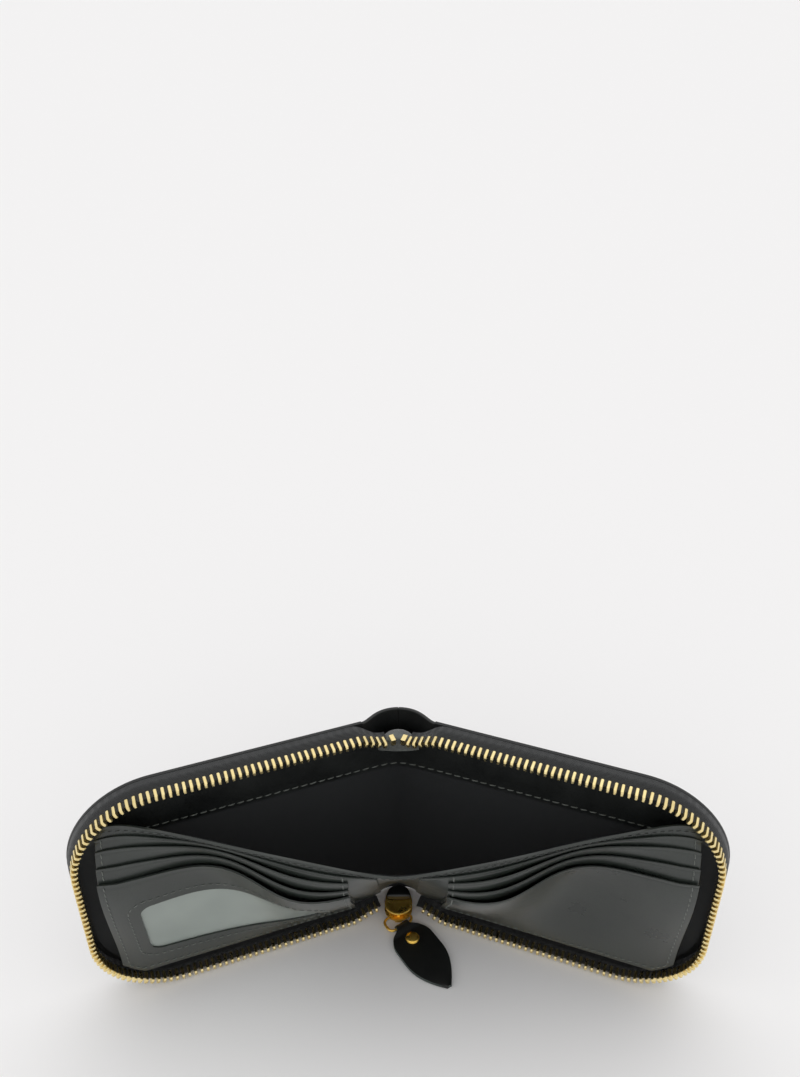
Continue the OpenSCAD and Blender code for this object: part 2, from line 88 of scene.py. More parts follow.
# ---- sizes ----------------------------------------------------------------
@dataclass(frozen=True)
class Pattern:
    """The wallet's cutting pattern, in millimetres and degrees."""

    side_angle: float = 20.2
    hinge_y: float = 14.183292
    panel_l: float = 115.0
    panel_h: float = 97.0
    corner_r: float = 31.5
    half_t: float = 9.5
    leather_t: float = 1.2
    board_t: float = 0.8
    lining_t: float = 0.5
    facing_h: float = 22.0
    skin_gap: float = 0.05
    spine_gap: float = 10.5
    spine_reach: float = 13.0
    zip_inset: float = 1.7
    tooth_pitch: float = 2.3
    tooth_w: float = 1.0
    tooth_l: float = 4.3
    tooth_t: float = 2.3
    head_reach: float = 0.8
    tape_t: float = 0.5
    tape_edge: float = 1.1
    chain_start: float = 8.6
    chain_end: float = 3.2
    bend_l: float = 11.0
    end_dip: float = 3.2
    slider_mid_z: float = 5.25
    lean: float = 44.0
    droop: float = 17.0
    panel_low: float = 9.0
    panel_top: float = 88.5
    slot_first: float = 7.3
    slot_step: float = 6.4
    panel_margin: float = 9.4
    slot_gape: float = 1.0
    divider_t: float = 1.1
    slot_t: float = 0.6
    window_h: float = 29.5
    window_l: float = 63.0
    apex_r: float = 8.0
    stitch_x: float = 18.0
    edge_rise: float = 5.0
    wave: float = 5.5
    bell: float = 3.2
    bell_at: float = 38.0
    bell_w: float = 13.0
    fold_r: float = 4.0

    @property
    def cos(self) -> float:
        """Cosine of a cover's angle back from a flat line."""
        return math.cos(math.radians(self.side_angle))

    @property
    def sin(self) -> float:
        """Sine of a cover's angle back from a flat line."""
        return math.sin(math.radians(self.side_angle))

    @property
    def chain_r(self) -> float:
        """Radius of the zip's two corners."""
        return self.corner_r - self.zip_inset

    @property
    def chain_far(self) -> float:
        """Distance of the zip's fore-edge run from the fold line."""
        return self.panel_l - self.zip_inset

    @property
    def run_parts(self) -> tuple[float, float, float, float]:
        """Lengths of the zip's lower run, one corner, its fore-edge run and its upper run."""
        low = self.chain_far - self.chain_r - self.chain_start
        side = self.panel_h - 2 * self.zip_inset - 2 * self.chain_r
        return low, self.chain_r * math.pi / 2, side, self.chain_far - self.chain_r - self.chain_end

    @property
    def run_all(self) -> float:
        """Length of one row of the zip."""
        low, arc, side, high = self.run_parts
        return low + 2 * arc + side + high

    @property
    def lining_face(self) -> float:
        """How far the lining's inner face is from the chain's plane."""
        return self.half_t - self.leather_t - self.board_t - self.lining_t - 2 * self.skin_gap

    @property
    def divider_w(self) -> float:
        """Where the divider's lower edge is sewn, out from the chain's plane."""
        return self.lining_face - self.divider_t / 2 - 0.6

    @property
    def card_far(self) -> float:
        """Half the width of the card panels across both halves."""
        return (self.panel_l - self.panel_margin) * self.cos

    @property
    def seam_x(self) -> float:
        """Inner edge of the card slots, beside the fold."""
        return self.stitch_x - 1.5

    @property
    def backing_d(self) -> float:
        """Stand-off of the layer behind the card slots."""
        return self.divider_t / 2 + 0.25 + self.slot_t / 2

    @property
    def slot_d(self) -> float:
        """Spacing of the card slots' layers."""
        return self.slot_t + 0.25

    @property
    def front_d(self) -> float:
        """Stand-off of the front pocket."""
        return self.backing_d + 3 * self.slot_d + 0.35

    @property
    def slot_high(self) -> float:
        """Height of the uppermost card slot's edge."""
        return self.panel_top - self.slot_first

    @property
    def front_high(self) -> float:
        """Height of the front pocket's edge."""
        return self.slot_high - 2 * self.slot_step

    @property
    def inner_near(self) -> float:
        """Where the board, lining and facing start, along the cover."""
        return self.spine_gap + 0.9

    @property
    def window_box(self) -> tuple[float, float, float, float]:
        """The window's near and far half-widths and its low and high edges."""
        far = self.card_far - 10.8
        low = self.panel_low + 12.5
        return far - self.window_l * self.cos, far, low, low + self.window_h


P = Pattern()


def ease(t: Array) -> Array:
    """Smooth step from 0 to 1: three t squared less two t cubed, held flat outside.

    Args:
        t: Any values.

    Returns:
        The eased values.
    """
    c = np.clip(t, 0, 1)
    return c * c * (3 - 2 * c)


def place(side: Side, u: Array, w: Array, z: Array) -> Array:
    """Turns points in a half's flat frame to its open place.

    The half turns about the fold line by the side angle, and the left half is its mirror.

    Args:
        side: Which half.
        u: Distance along the cover from the fold line.
        w: Distance out from the chain's plane.
        z: Height.

    Returns:
        Points in the row frame, in millimetres, in the last axis.
    """
    u, w, z = np.broadcast_arrays(u, w, z)
    x = side.value * (u * P.cos + w * P.sin)
    return np.stack([x, P.hinge_y - u * P.sin + w * P.cos, z], -1)


def chain(d: Array) -> Array:
    """The zip's path in a half's flat frame: two straights and a fore-edge run joined by arcs.

    The lower end climbs to the slider and the upper end sinks, each by an eased step.

    Args:
        d: Distance along the row from its slider end.

    Returns:
        Points [u, z] in the last axis.
    """
    low, arc, side, _ = P.run_parts
    r, far, top = P.chain_r, P.chain_far, P.panel_h - P.zip_inset
    lower = (d - low) / r - math.pi / 2
    upper = (d - low - arc - side) / r
    where = [d < low, d < low + arc, d < low + arc + side, d < low + 2 * arc + side]
    u = np.select(where, [P.chain_start + d, far - r + r * np.cos(lower), far + 0 * d,
                          far - r + r * np.cos(upper)], far - r - (d - low - 2 * arc - side))
    z = np.select(where, [P.zip_inset + 0 * d, P.zip_inset + r + r * np.sin(lower),
                          P.zip_inset + r + d - low - arc, top - r + r * np.sin(upper)], top)
    rise = (P.slider_mid_z - P.zip_inset) * (1 - ease(d / P.bend_l))
    dip = P.end_dip * (1 - ease((P.run_all - d) / P.bend_l))
    return np.stack([u, z + rise - dip], -1)


def chain_heading(d: Array) -> Array:
    """Unit direction [u, z] of the zip's path, from points a little before and after."""
    t = chain(d + 0.05) - chain(d - 0.05)
    return t / np.linalg.norm(t, axis=-1, keepdims=True)


def rounded(x: Array) -> Array:
    """Distance from the fold with its corner rounded: root of x squared plus r squared, less r."""
    return np.sqrt(x * x + P.apex_r ** 2) - P.apex_r


def panel(side: Side, x: Array, z: Array, d: Array, gape: float = 0.0) -> Array:
    """The card panels' surface: a sheet sewn low along both covers that leans out at the fold.

    The lean grows with height and towards the fold, with one long wave across it. The upper
    corner drops by a cube law to pass under the zip's corner. A slot's mouth stands open between
    its seams by a quartic bulge, and wider in a bell beside the fold. Small ripples keep it from
    looking pressed.

    Args:
        side: Which half.
        x: Half-width from the fold.
        z: Height on the flat sheet.
        d: Stand-off towards the viewer.
        gape: How far the mouth stands open at the top.

    Returns:
        Points in the row frame, in millimetres.
    """
    x, z, d = np.broadcast_arrays(np.asarray(x, float), np.asarray(z, float), np.asarray(d, float))
    t = (z - P.panel_low) / (P.panel_top - P.panel_low)
    share = 1 - rounded(x) / rounded(np.array(P.card_far))
    wave_mid, wave_l = 0.45 * P.card_far, 0.74 * P.card_far
    lean = P.lean * share * t + P.wave * ease(x / P.stitch_x) * np.sin(
        2 * math.pi * (wave_mid - x) / wave_l) * 6.75 * t * t * (1 - t)
    s = np.clip((x - P.stitch_x) / (P.card_far - P.stitch_x), 0, 1)
    mouth = 1 - (2 * s - 1) ** 4 + P.bell * np.exp(-((x - P.bell_at) / P.bell_w) ** 2)
    round_off = np.maximum(x / P.cos - 2 - (P.chain_far - P.chain_r), 0)
    over = P.card_far / P.cos - 2 - (P.chain_far - P.chain_r)
    corner = max(0.0, P.panel_top + 4.5 - (P.panel_h - P.zip_inset - P.chain_r)
                 - math.sqrt(P.chain_r ** 2 - over ** 2))
    drop = corner * (round_off / over) ** 3
    u = x / P.cos + 2 - (P.chain_far - P.chain_r)
    arc = np.where(u > 0, P.zip_inset + P.chain_r - np.sqrt(np.maximum(
        P.chain_r ** 2 - np.maximum(u, 0) ** 2, 0)) + 2, 0)
    lift = np.maximum(P.edge_rise * (1 - ease(x / 12)), arc - P.panel_low)
    ripple = 0.16 * np.sin(x / 7.3 + z / 11 + side.value) * np.sin(z / 9.1 + 0.6) * t
    y = P.divider_w / P.cos - P.sin / P.cos * (rounded(x) + P.apex_r) - lean - d - gape * mouth * t
    return np.stack([side.value * x, P.hinge_y + y + ripple,
                     z - (P.droop * share + drop) * t + lift * (1 - t)], -1)


# ---- mesh helpers ---------------------------------------------------------
def grid_faces(n: int, m: int, close_n: bool = False, close_m: bool = False) -> Array:
    """Quads of an n by m grid of vertices, joined round where it closes.

    Args:
        n: Rows.
        m: Columns.
        close_n: The last row joins the first.
        close_m: The last column joins the first.

    Returns:
        One row of four indices per quad.
    """
    i, j = np.meshgrid(np.arange(n if close_n else n - 1), np.arange(m if close_m else m - 1),
                       indexing="ij")
    i2, j2 = (i + 1) % n, (j + 1) % m
    return np.stack([i * m + j, i2 * m + j, i2 * m + j2, i * m + j2], -1).reshape(-1, 4)


def make(name: str, points: Array, faces: Sequence[Sequence[int]], uv: Optional[Array] = None,
         smooth: float = 40.0) -> bpy.types.Object:
    """Makes a mesh object at the origin, with its normals outwards.

    Args:
        name: Object name.
        points: Vertices in millimetres.
        faces: Vertex indices of each face.
        uv: A map of the surface in millimetres, one pair per vertex.
        smooth: Edges sharper than this many degrees stay sharp.

    Returns:
        The new object.
    """
    mesh = bpy.data.meshes.new(name)
    mesh.from_pydata((points.reshape(-1, 3) * MM).tolist(), [], [list(map(int, f)) for f in faces])
    if uv is not None:
        layer = mesh.uv_layers.new(name="pattern")
        index = np.empty(len(mesh.loops), np.int32)
        mesh.loops.foreach_get("vertex_index", index)
        layer.data.foreach_set("uv", uv.reshape(-1, 2)[index].astype(np.float32).ravel())
    bm = bmesh.new()
    bm.from_mesh(mesh)
    bmesh.ops.recalc_face_normals(bm, faces=bm.faces)
    bm.to_mesh(mesh)
    bm.free()
    mesh.set_sharp_from_angle(angle=math.radians(smooth))
    for poly in mesh.polygons:
        poly.use_smooth = True
    obj = bpy.data.objects.new(name, mesh)
    bpy.context.scene.collection.objects.link(obj)
    return obj


def unit(v: Array) -> Array:
    """Vectors of length one along the last axis."""
    return v / np.maximum(np.linalg.norm(v, axis=-1, keepdims=True), 1e-12)


def grid_normals(points: Array, close_m: bool = False) -> Array:
    """Unit normals of a grid surface: the cross product of its two slopes.

    Args:
        points: Grid of points.
        close_m: The columns run in a ring.

    Returns:
        One normal per point.
    """
    di = np.gradient(points, axis=0)
    if close_m:
        dj = (np.roll(points, -1, 1) - np.roll(points, 1, 1)) / 2
    else:
        dj = np.gradient(points, axis=1)
    return unit(np.cross(di, dj))


def surface_map(points: Array) -> Array:
    """Flat map of a grid in millimetres: length along the columns, then along the rows."""
    du = np.linalg.norm(np.diff(points, axis=1), axis=-1)
    dv = np.linalg.norm(np.diff(points, axis=0), axis=-1)
    u = np.concatenate([np.zeros((points.shape[0], 1)), np.cumsum(du, 1)], 1)
    v = np.concatenate([np.zeros((1, points.shape[1])), np.cumsum(dv, 0)], 0)
    return np.stack([u, v], -1)


def slab(name: str, points: Array, thick: float, bevel: float = 0.0,
         ring: bool = False) -> bpy.types.Object:
    """A sheet of even thickness about a grid surface, closed round its rim.

    Each face is the grid moved half the thickness along its normals, and strips join the edges.

    Args:
        name: Object name.
        points: Mid-surface grid in millimetres.
        thick: Thickness.
        bevel: Width of the rounding on the rim.
        ring: The columns run in a ring, so only the first and last rows have rims.

    Returns:
        The sheet.
    """
    n, m = points.shape[:2]
    normal = grid_normals(points, ring)
    half = thick / 2
    both = np.concatenate([(points + normal * half).reshape(-1, 3),
                           (points - normal * half).reshape(-1, 3)])
    quads = grid_faces(n, m, close_m=ring)
    k = n * m
    row = np.arange(m if ring else m - 1)
    nxt = (row + 1) % m
    rims = [np.stack([row + o, row + o + k, nxt + o + k, nxt + o], -1) for o in (0, (n - 1) * m)]
    if not ring:
        col = np.arange(n - 1) * m
        rims += [np.stack([col + o, col + m + o, col + m + o + k, col + o + k], -1)
                 for o in (0, m - 1)]
    faces = np.concatenate([quads, quads[:, ::-1] + k] + rims)
    obj = make(name, both, faces, np.concatenate([surface_map(points).reshape(-1, 2)] * 2))
    if bevel:
        cut = obj.modifiers.new("edge", "BEVEL")
        cut.width, cut.segments, cut.angle_limit = bevel * MM, 3, math.radians(50)
        cut.harden_normals = False
    return obj


def resample(path: Array, count: int, closed: bool = False) -> Array:
    """Points at even steps of length along a path.

    Args:
        path: Points along it.
        count: How many to return.
        closed: The path joins its own start.

    Returns:
        The even points.
    """
    full = np.concatenate([path, path[:1]]) if closed else path
    run = np.concatenate([[0], np.cumsum(np.linalg.norm(np.diff(full, axis=0), axis=1))])
    at = np.linspace(0, run[-1], count, endpoint=not closed)
    return np.stack([np.interp(at, run, full[:, k]) for k in range(full.shape[1])], -1)


def path_length(path: Array) -> float:
    """Length of a path in millimetres."""
    return float(np.linalg.norm(np.diff(path, axis=0), axis=1).sum())


def tube(name: str, path: Array, radius: float, sides: int = 16) -> bpy.types.Object:
    """A round wire bent into a closed loop: a circle carried along the path.

    Args:
        name: Object name.
        path: Closed path in a plane, in millimetres.
        radius: Wire radius.
        sides: Points round the wire.

    Returns:
        The wire.
    """
    tangent = unit(np.roll(path, -1, 0) - np.roll(path, 1, 0))
    flat = unit(np.cross(path[0] - path.mean(0), path[len(path) // 4] - path.mean(0)))
    across = np.cross(tangent, flat)
    a = np.linspace(0, 2 * math.pi, sides, endpoint=False)
    points = path[:, None] + radius * (across[:, None] * np.cos(a)[None, :, None]
                                       + flat * np.sin(a)[None, :, None])
    return make(name, points, grid_faces(len(path), sides, True, True))


def dome(name: str, centre: Array, profile: Array, sides: int = 48) -> bpy.types.Object:
    """A turned piece: a profile of radius and height carried round an upright line.

    Args:
        name: Object name.
        centre: Foot of the line.
        profile: Radius and height pairs, from the foot up; both ends are closed flat.
        sides: Points round it.

    Returns:
        The piece.
    """
    a = np.linspace(0, 2 * math.pi, sides, endpoint=False)
    r, h = profile[:, 0][:, None], profile[:, 1][:, None]
    points = np.stack([centre[0] + r * np.cos(a), centre[1] + r * np.sin(a),
                       centre[2] + h + 0 * a], -1)
    n = len(profile)
    faces: list[Any] = grid_faces(n, sides, close_m=True).tolist()
    faces += [list(range(sides)), list(range((n - 1) * sides, n * sides))]
    return make(name, points, faces, smooth=35)


def stitches(name: str, path: Array, normal: Array, pitch: float = 2.5, length: float = 1.8,
             radius: float = 0.2, slant: float = 8.0) -> bpy.types.Object:
    """A row of sewn stitches: one bowed, tapered bead of thread per step of the path.

    A bead's radius is the thread's times the fourth root of one less its end share squared, and its
    middle stands proud of the leather while its ends go down into their holes.

    Args:
        name: Object name.
        path: Seam in millimetres.
        normal: Outward direction at each point of the seam.
        pitch: Step from one stitch to the next.
        length: Length of thread showing.
        radius: Radius of the thread.
        slant: Degrees that each stitch is turned from the seam.

    Returns:
        All the stitches as one piece.
    """
    count = max(int(path_length(path) / pitch), 2)
    run = np.concatenate([[0], np.cumsum(np.linalg.norm(np.diff(path, axis=0), axis=1))])
    at = (np.arange(count) + 0.5) * run[-1] / count
    centre = np.stack([np.interp(at, run, path[:, k]) for k in range(3)], -1)
    up = unit(np.stack([np.interp(at, run, normal[:, k]) for k in range(3)], -1))
    ahead = np.stack([np.interp(at + 0.3, run, path[:, k]) for k in range(3)], -1)
    behind = np.stack([np.interp(at - 0.3, run, path[:, k]) for k in range(3)], -1)
    along = unit(ahead - behind)
    side = unit(np.cross(up, along))
    turn = math.radians(slant)
    along = along * math.cos(turn) + side * math.sin(turn)
    side = unit(np.cross(up, along))
    s = np.linspace(-1, 1, 7)
    a = np.linspace(0, 2 * math.pi, 8, endpoint=False)
    body = radius * np.maximum(1 - s ** 2, 0.06) ** 0.25
    bow = radius * (0.75 - 1.2 * s ** 4)
    points = (centre[:, None, None] + along[:, None, None] * (s * length / 2)[None, :, None, None]
              + up[:, None, None] * (bow[:, None] + body[:, None] * np.sin(a))[None, :, :, None]
              + side[:, None, None] * (body[:, None] * np.cos(a))[None, :, :, None])
    one = grid_faces(7, 8, close_m=True)
    faces: list[Any] = (one[None] + (np.arange(count) * 56)[:, None, None]).reshape(-1, 4).tolist()
    faces += [[k * 56 + o + j for j in range(8)] for k in range(count) for o in (0, 48)]
    return make(name, points, faces, smooth=60)


def rounded_rect(x0: float, x1: float, z0: float, z1: float, r: float, step: int = 24,
                 corner: int = 8) -> Array:
    """Outline of a rectangle with round corners, with the same count of points at any size.

    Args:
        x0: Near edge.
        x1: Far edge.
        z0: Low edge.
        z1: High edge.
        r: Corner radius.
        step: Points along each side.
        corner: Points round each corner.

    Returns:
        Closed outline as [x, z] pairs.
    """
    out = []
    corners = [(x1 - r, z0 + r, -90), (x1 - r, z1 - r, 0), (x0 + r, z1 - r, 90), (x0 + r, z0 + r, 180)]
    for k, (cx, cz, start) in enumerate(corners):
        a = np.radians(np.linspace(start, start + 90, corner))
        arc = np.stack([cx + r * np.cos(a), cz + r * np.sin(a)], -1)
        nx, nz, turn = corners[(k + 1) % 4]
        b = math.radians(turn)
        end = np.array([nx + r * math.cos(b), nz + r * math.sin(b)])
        t = np.linspace(0, 1, step + 2)[1:-1, None]
        out += [arc, arc[-1] * (1 - t) + end * t]
    return np.concatenate(out)


# ---- finishes -------------------------------------------------------------
def linear(code: str, alpha: float = 1.0) -> tuple[float, float, float, float]:
    """An sRGB hex colour as linear red, green, blue and alpha.

    Args:
        code: Six hex digits after a hash.
        alpha: Opacity.

    Returns:
        The linear colour.
    """
    c = [int(code[k:k + 2], 16) / 255 for k in (1, 3, 5)]
    r, g, b = [v / 12.92 if v <= 0.04045 else ((v + 0.055) / 1.055) ** 2.4 for v in c]
    return r, g, b, alpha


def add(tree: bpy.types.NodeTree, kind: str, links: Optional[dict[str, Any]] = None,
        **settings: Any) -> bpy.types.Node:
    """Adds a node, sets it and links or fills its inputs.

    Args:
        tree: Node tree.
        kind: Node type's name.
        links: Input name or number, to a socket to link or a value to set.
        settings: Attributes of the node.

    Returns:
        The new node.
    """
    node = tree.nodes.new(kind)
    for key, value in settings.items():
        setattr(node, key, value)
    for key, value in (links or {}).items():
        socket = node.inputs[key]
        if isinstance(value, bpy.types.NodeSocket):
            tree.links.new(value, socket)
        else:
            socket.default_value = value
    return node


def start(name: str, **values: Any) -> tuple[bpy.types.Material, bpy.types.NodeTree, bpy.types.Node]:
    """A new material, its tree and its Principled shader with the given socket values."""
    material = bpy.data.materials.new(name)
    material.use_nodes = True
    tree = material.node_tree
    shader = tree.nodes["Principled BSDF"]
    for key, value in values.items():
        shader.inputs[key.replace("_", " ")].default_value = value
    return material, tree, shader


def blend_colour(tree: bpy.types.NodeTree, share: Any, low: str, high: str) -> Any:
    """Socket of a colour that goes from low to high with share."""
    node = add(tree, "ShaderNodeMix", {0: share, 6: linear(low), 7: linear(high)},
               data_type="RGBA")
    return node.outputs[2]


@dataclass(frozen=True)
class Leather:
    """Full-grain leather, drummed and finished: fine pebbles, faint creases, a soft sheen."""

    name: str
    dark: str
    light: str
    grain: float = 0.9
    relief: float = 0.05
    rough: float = 0.45
    coat: float = 0.12
    crease: float = 14.0

    def material(self) -> bpy.types.Material:
        """Pebbles are cells at the grain's width; a slow cloud varies colour and roughness."""
        material, tree, shader = start(self.name, Coat_Weight=self.coat, Coat_Roughness=0.35,
                                       IOR=1.5)
        here = add(tree, "ShaderNodeTexCoord").outputs["Object"]
        cloud = add(tree, "ShaderNodeTexNoise", {"Vector": here, "Scale": 1000 / self.crease,
                                                 "Detail": 6.0, "Roughness": 0.62})
        warp = add(tree, "ShaderNodeTexNoise", {"Vector": here, "Scale": 420 / self.grain,
                                                "Detail": 2.0})
        bent = add(tree, "ShaderNodeVectorMath",
                   {0: here, 1: add(tree, "ShaderNodeVectorMath",
                                    {0: warp.outputs["Color"],
                                     "Scale": self.grain * MM * 0.6}, operation="SCALE").outputs[0]},
                   operation="ADD").outputs[0]
        cells = add(tree, "ShaderNodeTexVoronoi", {"Vector": bent, "Scale": 1000 / self.grain},
                    feature="SMOOTH_F1")
        pores = add(tree, "ShaderNodeMapRange", {"Value": cells.outputs["Distance"],
                                                 "From Min": 0.15, "From Max": 0.75,
                                                 "To Min": 1.0, "To Max": 0.0})
        spread = add(tree, "ShaderNodeMapRange", {"Value": cloud.outputs["Fac"], "From Min": 0.3,
                                                  "From Max": 0.7})
        tone = add(tree, "ShaderNodeMath", {0: spread.outputs[0], 1: 0.7, 2: 0.0},
                   operation="MULTIPLY_ADD")
        deep = add(tree, "ShaderNodeMath", {0: pores.outputs[0], 1: 0.3, 2: tone.outputs[0]},
                   operation="MULTIPLY_ADD")
        tree.links.new(blend_colour(tree, deep.outputs[0], self.dark, self.light),
                       shader.inputs["Base Color"])
        dull = add(tree, "ShaderNodeMapRange", {"Value": cloud.outputs["Fac"], "From Min": 0.3,
                                                "From Max": 0.7, "To Min": self.rough - 0.07,
                                                "To Max": self.rough + 0.1})
        tree.links.new(dull.outputs[0], shader.inputs["Roughness"])
        height = add(tree, "ShaderNodeMath", {0: cloud.outputs["Fac"], 1: 1.3,
                                              2: pores.outputs[0]}, operation="MULTIPLY_ADD")
        bump = add(tree, "ShaderNodeBump", {"Height": height.outputs[0], "Strength": 0.75,
                                            "Distance": self.relief * MM})
        tree.links.new(bump.outputs[0], shader.inputs["Normal"])
        return material


@dataclass(frozen=True)
class Cloth:
    """Woven polyester: threads cross at their own spacing; painted highlight on their crowns, painted
    shade between them.
    """

    name: str
    dark: str
    light: str
    thread: float = 0.5
    weave: Weave = Weave.PLAIN
    column: float = 1.9
    rough: float = 0.75
    relief: float = 0.1
    mapped: bool = False

    def material(self) -> bpy.types.Material:
        """Herringbone turns its threads' slope at each column; plain weave multiplies two sets."""
        material, tree, shader = start(self.name, Roughness=self.rough, Sheen_Weight=0.25,
                                       Sheen_Roughness=0.5, IOR=1.5)
        source = add(tree, "ShaderNodeTexCoord").outputs["UV" if self.mapped else "Object"]
        scaled = add(tree, "ShaderNodeVectorMath",
                     {0: source, "Scale": 1.0 if self.mapped else 1000.0}, operation="SCALE")
        axes = add(tree, "ShaderNodeSeparateXYZ", {0: scaled.outputs[0]})
        along = axes.outputs["X"]
        across = axes.outputs["Y" if self.mapped else "Z"]
        turn = 2 * math.pi / self.thread

        def ribs(value: Any, step: float) -> Any:
            """Socket of one plus the sine of value times step, halved."""
            wave = add(tree, "ShaderNodeMath", {0: value, 1: step}, operation="MULTIPLY")
            sine = add(tree, "ShaderNodeMath", {0: wave.outputs[0]}, operation="SINE")
            return add(tree, "ShaderNodeMath", {0: sine.outputs[0], 1: 0.5, 2: 0.5},
                       operation="MULTIPLY_ADD").outputs[0]

        if self.weave is Weave.HERRINGBONE:
            zig = add(tree, "ShaderNodeMath", {0: across, 1: self.column}, operation="PINGPONG")
            slope = add(tree, "ShaderNodeMath", {0: zig.outputs[0], 1: 1.0, 2: along},
                        operation="MULTIPLY_ADD")
            height = ribs(slope.outputs[0], turn)
        else:
            both = add(tree, "ShaderNodeMath", {0: ribs(along, turn), 1: ribs(across, turn)},
                       operation="MULTIPLY")
            height = both.outputs[0]
        fuzz = add(tree, "ShaderNodeTexNoise", {"Vector": source, "Detail": 4.0,
                                                "Scale": 0.5 if self.mapped else 160.0})
        # Painted highlight and shade: the colour goes lighter where the thread crowns stand high and
        # darker in the grooves between, scaled by a random fuzz cloud.
        share = add(tree, "ShaderNodeMath", {0: height, 1: fuzz.outputs["Fac"]},
                    operation="MULTIPLY")
        tree.links.new(blend_colour(tree, share.outputs[0], self.dark, self.light),
                       shader.inputs["Base Color"])
        bump = add(tree, "ShaderNodeBump", {"Height": height, "Strength": 0.8,
                                            "Distance": self.relief * MM})
        tree.links.new(bump.outputs[0], shader.inputs["Normal"])
        return material


@dataclass(frozen=True)
class Metal:
    """Plated brass, tumbled then polished: bright, with soft rubbed patches."""

    name: str
    colour: str
    rubbed: str
    rough: float = 0.2

    def material(self) -> bpy.types.Material:
        """A cloud 3 mm wide moves the colour and roughness a little."""
        material, tree, shader = start(self.name, Metallic=1.0)
        here = add(tree, "ShaderNodeTexCoord").outputs["Object"]
        cloud = add(tree, "ShaderNodeTexNoise", {"Vector": here, "Scale": 1000 / 3.0,
                                                 "Detail": 5.0})
        tree.links.new(blend_colour(tree, cloud.outputs["Fac"], self.colour, self.rubbed),
                       shader.inputs["Base Color"])
        dull = add(tree, "ShaderNodeMapRange", {"Value": cloud.outputs["Fac"],
                                                "To Min": self.rough - 0.08,
                                                "To Max": self.rough + 0.14})
        tree.links.new(dull.outputs[0], shader.inputs["Roughness"])
        fine = add(tree, "ShaderNodeTexNoise", {"Vector": here, "Scale": 1000 / 0.5})
        bump = add(tree, "ShaderNodeBump", {"Height": fine.outputs["Fac"], "Strength": 0.25,
                                            "Distance": 0.02 * MM})
        tree.links.new(bump.outputs[0], shader.inputs["Normal"])
        return material


@dataclass(frozen=True)
class Film:
    """Frosted vinyl sheet: pale, waxy and half clear, with a soft reflection."""

    name: str = "frosted vinyl film"
    cloudy: str = "#848e88"
    clear: str = "#b0b8b2"

    def material(self) -> bpy.types.Material:
        """A cloud 24 mm wide varies its tone, and an even fine frost dulls it."""
        material, tree, shader = start(self.name, Alpha=0.82, Coat_Weight=0.5, Coat_Roughness=0.18,
                                       IOR=1.53)
        here = add(tree, "ShaderNodeTexCoord").outputs["Object"]
        cloud = add(tree, "ShaderNodeTexNoise", {"Vector": here, "Scale": 1000 / 24.0,
                                                 "Detail": 2.0})
        tree.links.new(blend_colour(tree, cloud.outputs["Fac"], self.cloudy, self.clear),
                       shader.inputs["Base Color"])
        dull = add(tree, "ShaderNodeMapRange", {"Value": cloud.outputs["Fac"], "To Min": 0.28,
                                                "To Max": 0.42})
        tree.links.new(dull.outputs[0], shader.inputs["Roughness"])
        return material


@dataclass(frozen=True)
class Nap:
    """Split suede: a short nap with no gloss, lighter where it is brushed up."""

    name: str
    dark: str
    light: str

    def material(self) -> bpy.types.Material:
        """Two clouds, of 0.4 mm tufts and 3 mm strokes."""
        material, tree, shader = start(self.name, Roughness=0.95, Sheen_Weight=0.5,
                                       Sheen_Roughness=0.6)
        here = add(tree, "ShaderNodeTexCoord").outputs["Object"]
        tuft = add(tree, "ShaderNodeTexNoise", {"Vector": here, "Scale": 1000 / 0.4, "Detail": 3.0})
        stroke = add(tree, "ShaderNodeTexNoise", {"Vector": here, "Scale": 1000 / 3.0})
        share = add(tree, "ShaderNodeMath", {0: tuft.outputs["Fac"], 1: stroke.outputs["Fac"]},
                    operation="MULTIPLY")
        wide = add(tree, "ShaderNodeMapRange", {"Value": share.outputs[0], "From Min": 0.12,
                                                "From Max": 0.4})
        tree.links.new(blend_colour(tree, wide.outputs[0], self.dark, self.light),
                       shader.inputs["Base Color"])
        bump = add(tree, "ShaderNodeBump", {"Height": tuft.outputs["Fac"], "Strength": 0.9,
                                            "Distance": 0.15 * MM})
        tree.links.new(bump.outputs[0], shader.inputs["Normal"])
        return material


class Finishes:
    """Every finish on the wallet, made once."""

    def __init__(self) -> None:
        """Makes the materials."""
        self.cover = Leather("full-grain calf, black", "#0a0b0b", "#161818", 0.8, 0.05, 0.5,
                             0.04).material()
        self.panel = Leather("full-grain calf, charcoal", "#191d1a", "#303632", 0.45, 0.006, 0.32,
                             0.25, 26.0).material()
        self.edge = Leather("full-grain calf, facing", "#0d0f0f", "#1d201f", 0.9, 0.05, 0.5,
                            0.05).material()
        self.tab = Leather("full-grain calf, pull tab", "#060707", "#101211", 0.6, 0.04, 0.42,
                           0.15).material()
        self.painted = Leather("painted leather edge", "#313c37", "#46534d", 0.5, 0.02, 0.45,
                               0.1).material()
        self.tape = Cloth("woven polyester zip tape", "#0b0c0c", "#34373a", 0.62,
                          Weave.HERRINGBONE, 1.5, 0.7, 0.14, True).material()
        self.lining = Cloth("polyester twill lining", "#05090d", "#0f1820", 0.3, rough=0.8,
                            relief=0.03).material()
        self.board = Nap("grey stiffening board", "#5c564c", "#7a7367").material()
        self.teeth = Metal("pale gold plated zip teeth", "#fbeab4", "#e6cd88", 0.26).material()
        self.gold = Metal("polished gold plated brass", "#ffdd74", "#ffc95c", 0.26).material()
        self.steel = Metal("spring steel", "#b9bcbd", "#9da1a3", 0.3).material()
        self.film = Film().material()
        self.suede = Nap("split suede, grey", "#1d211f", "#4c524e").material()
        self.thread = Cloth("bonded nylon thread", "#555a55", "#8d928b", 0.35,
                            rough=0.6, relief=0.04).material()
        self.thread_dark = Cloth("bonded nylon thread, dark", "#202322", "#4a4f4c", 0.35,
                                 rough=0.6, relief=0.04).material()


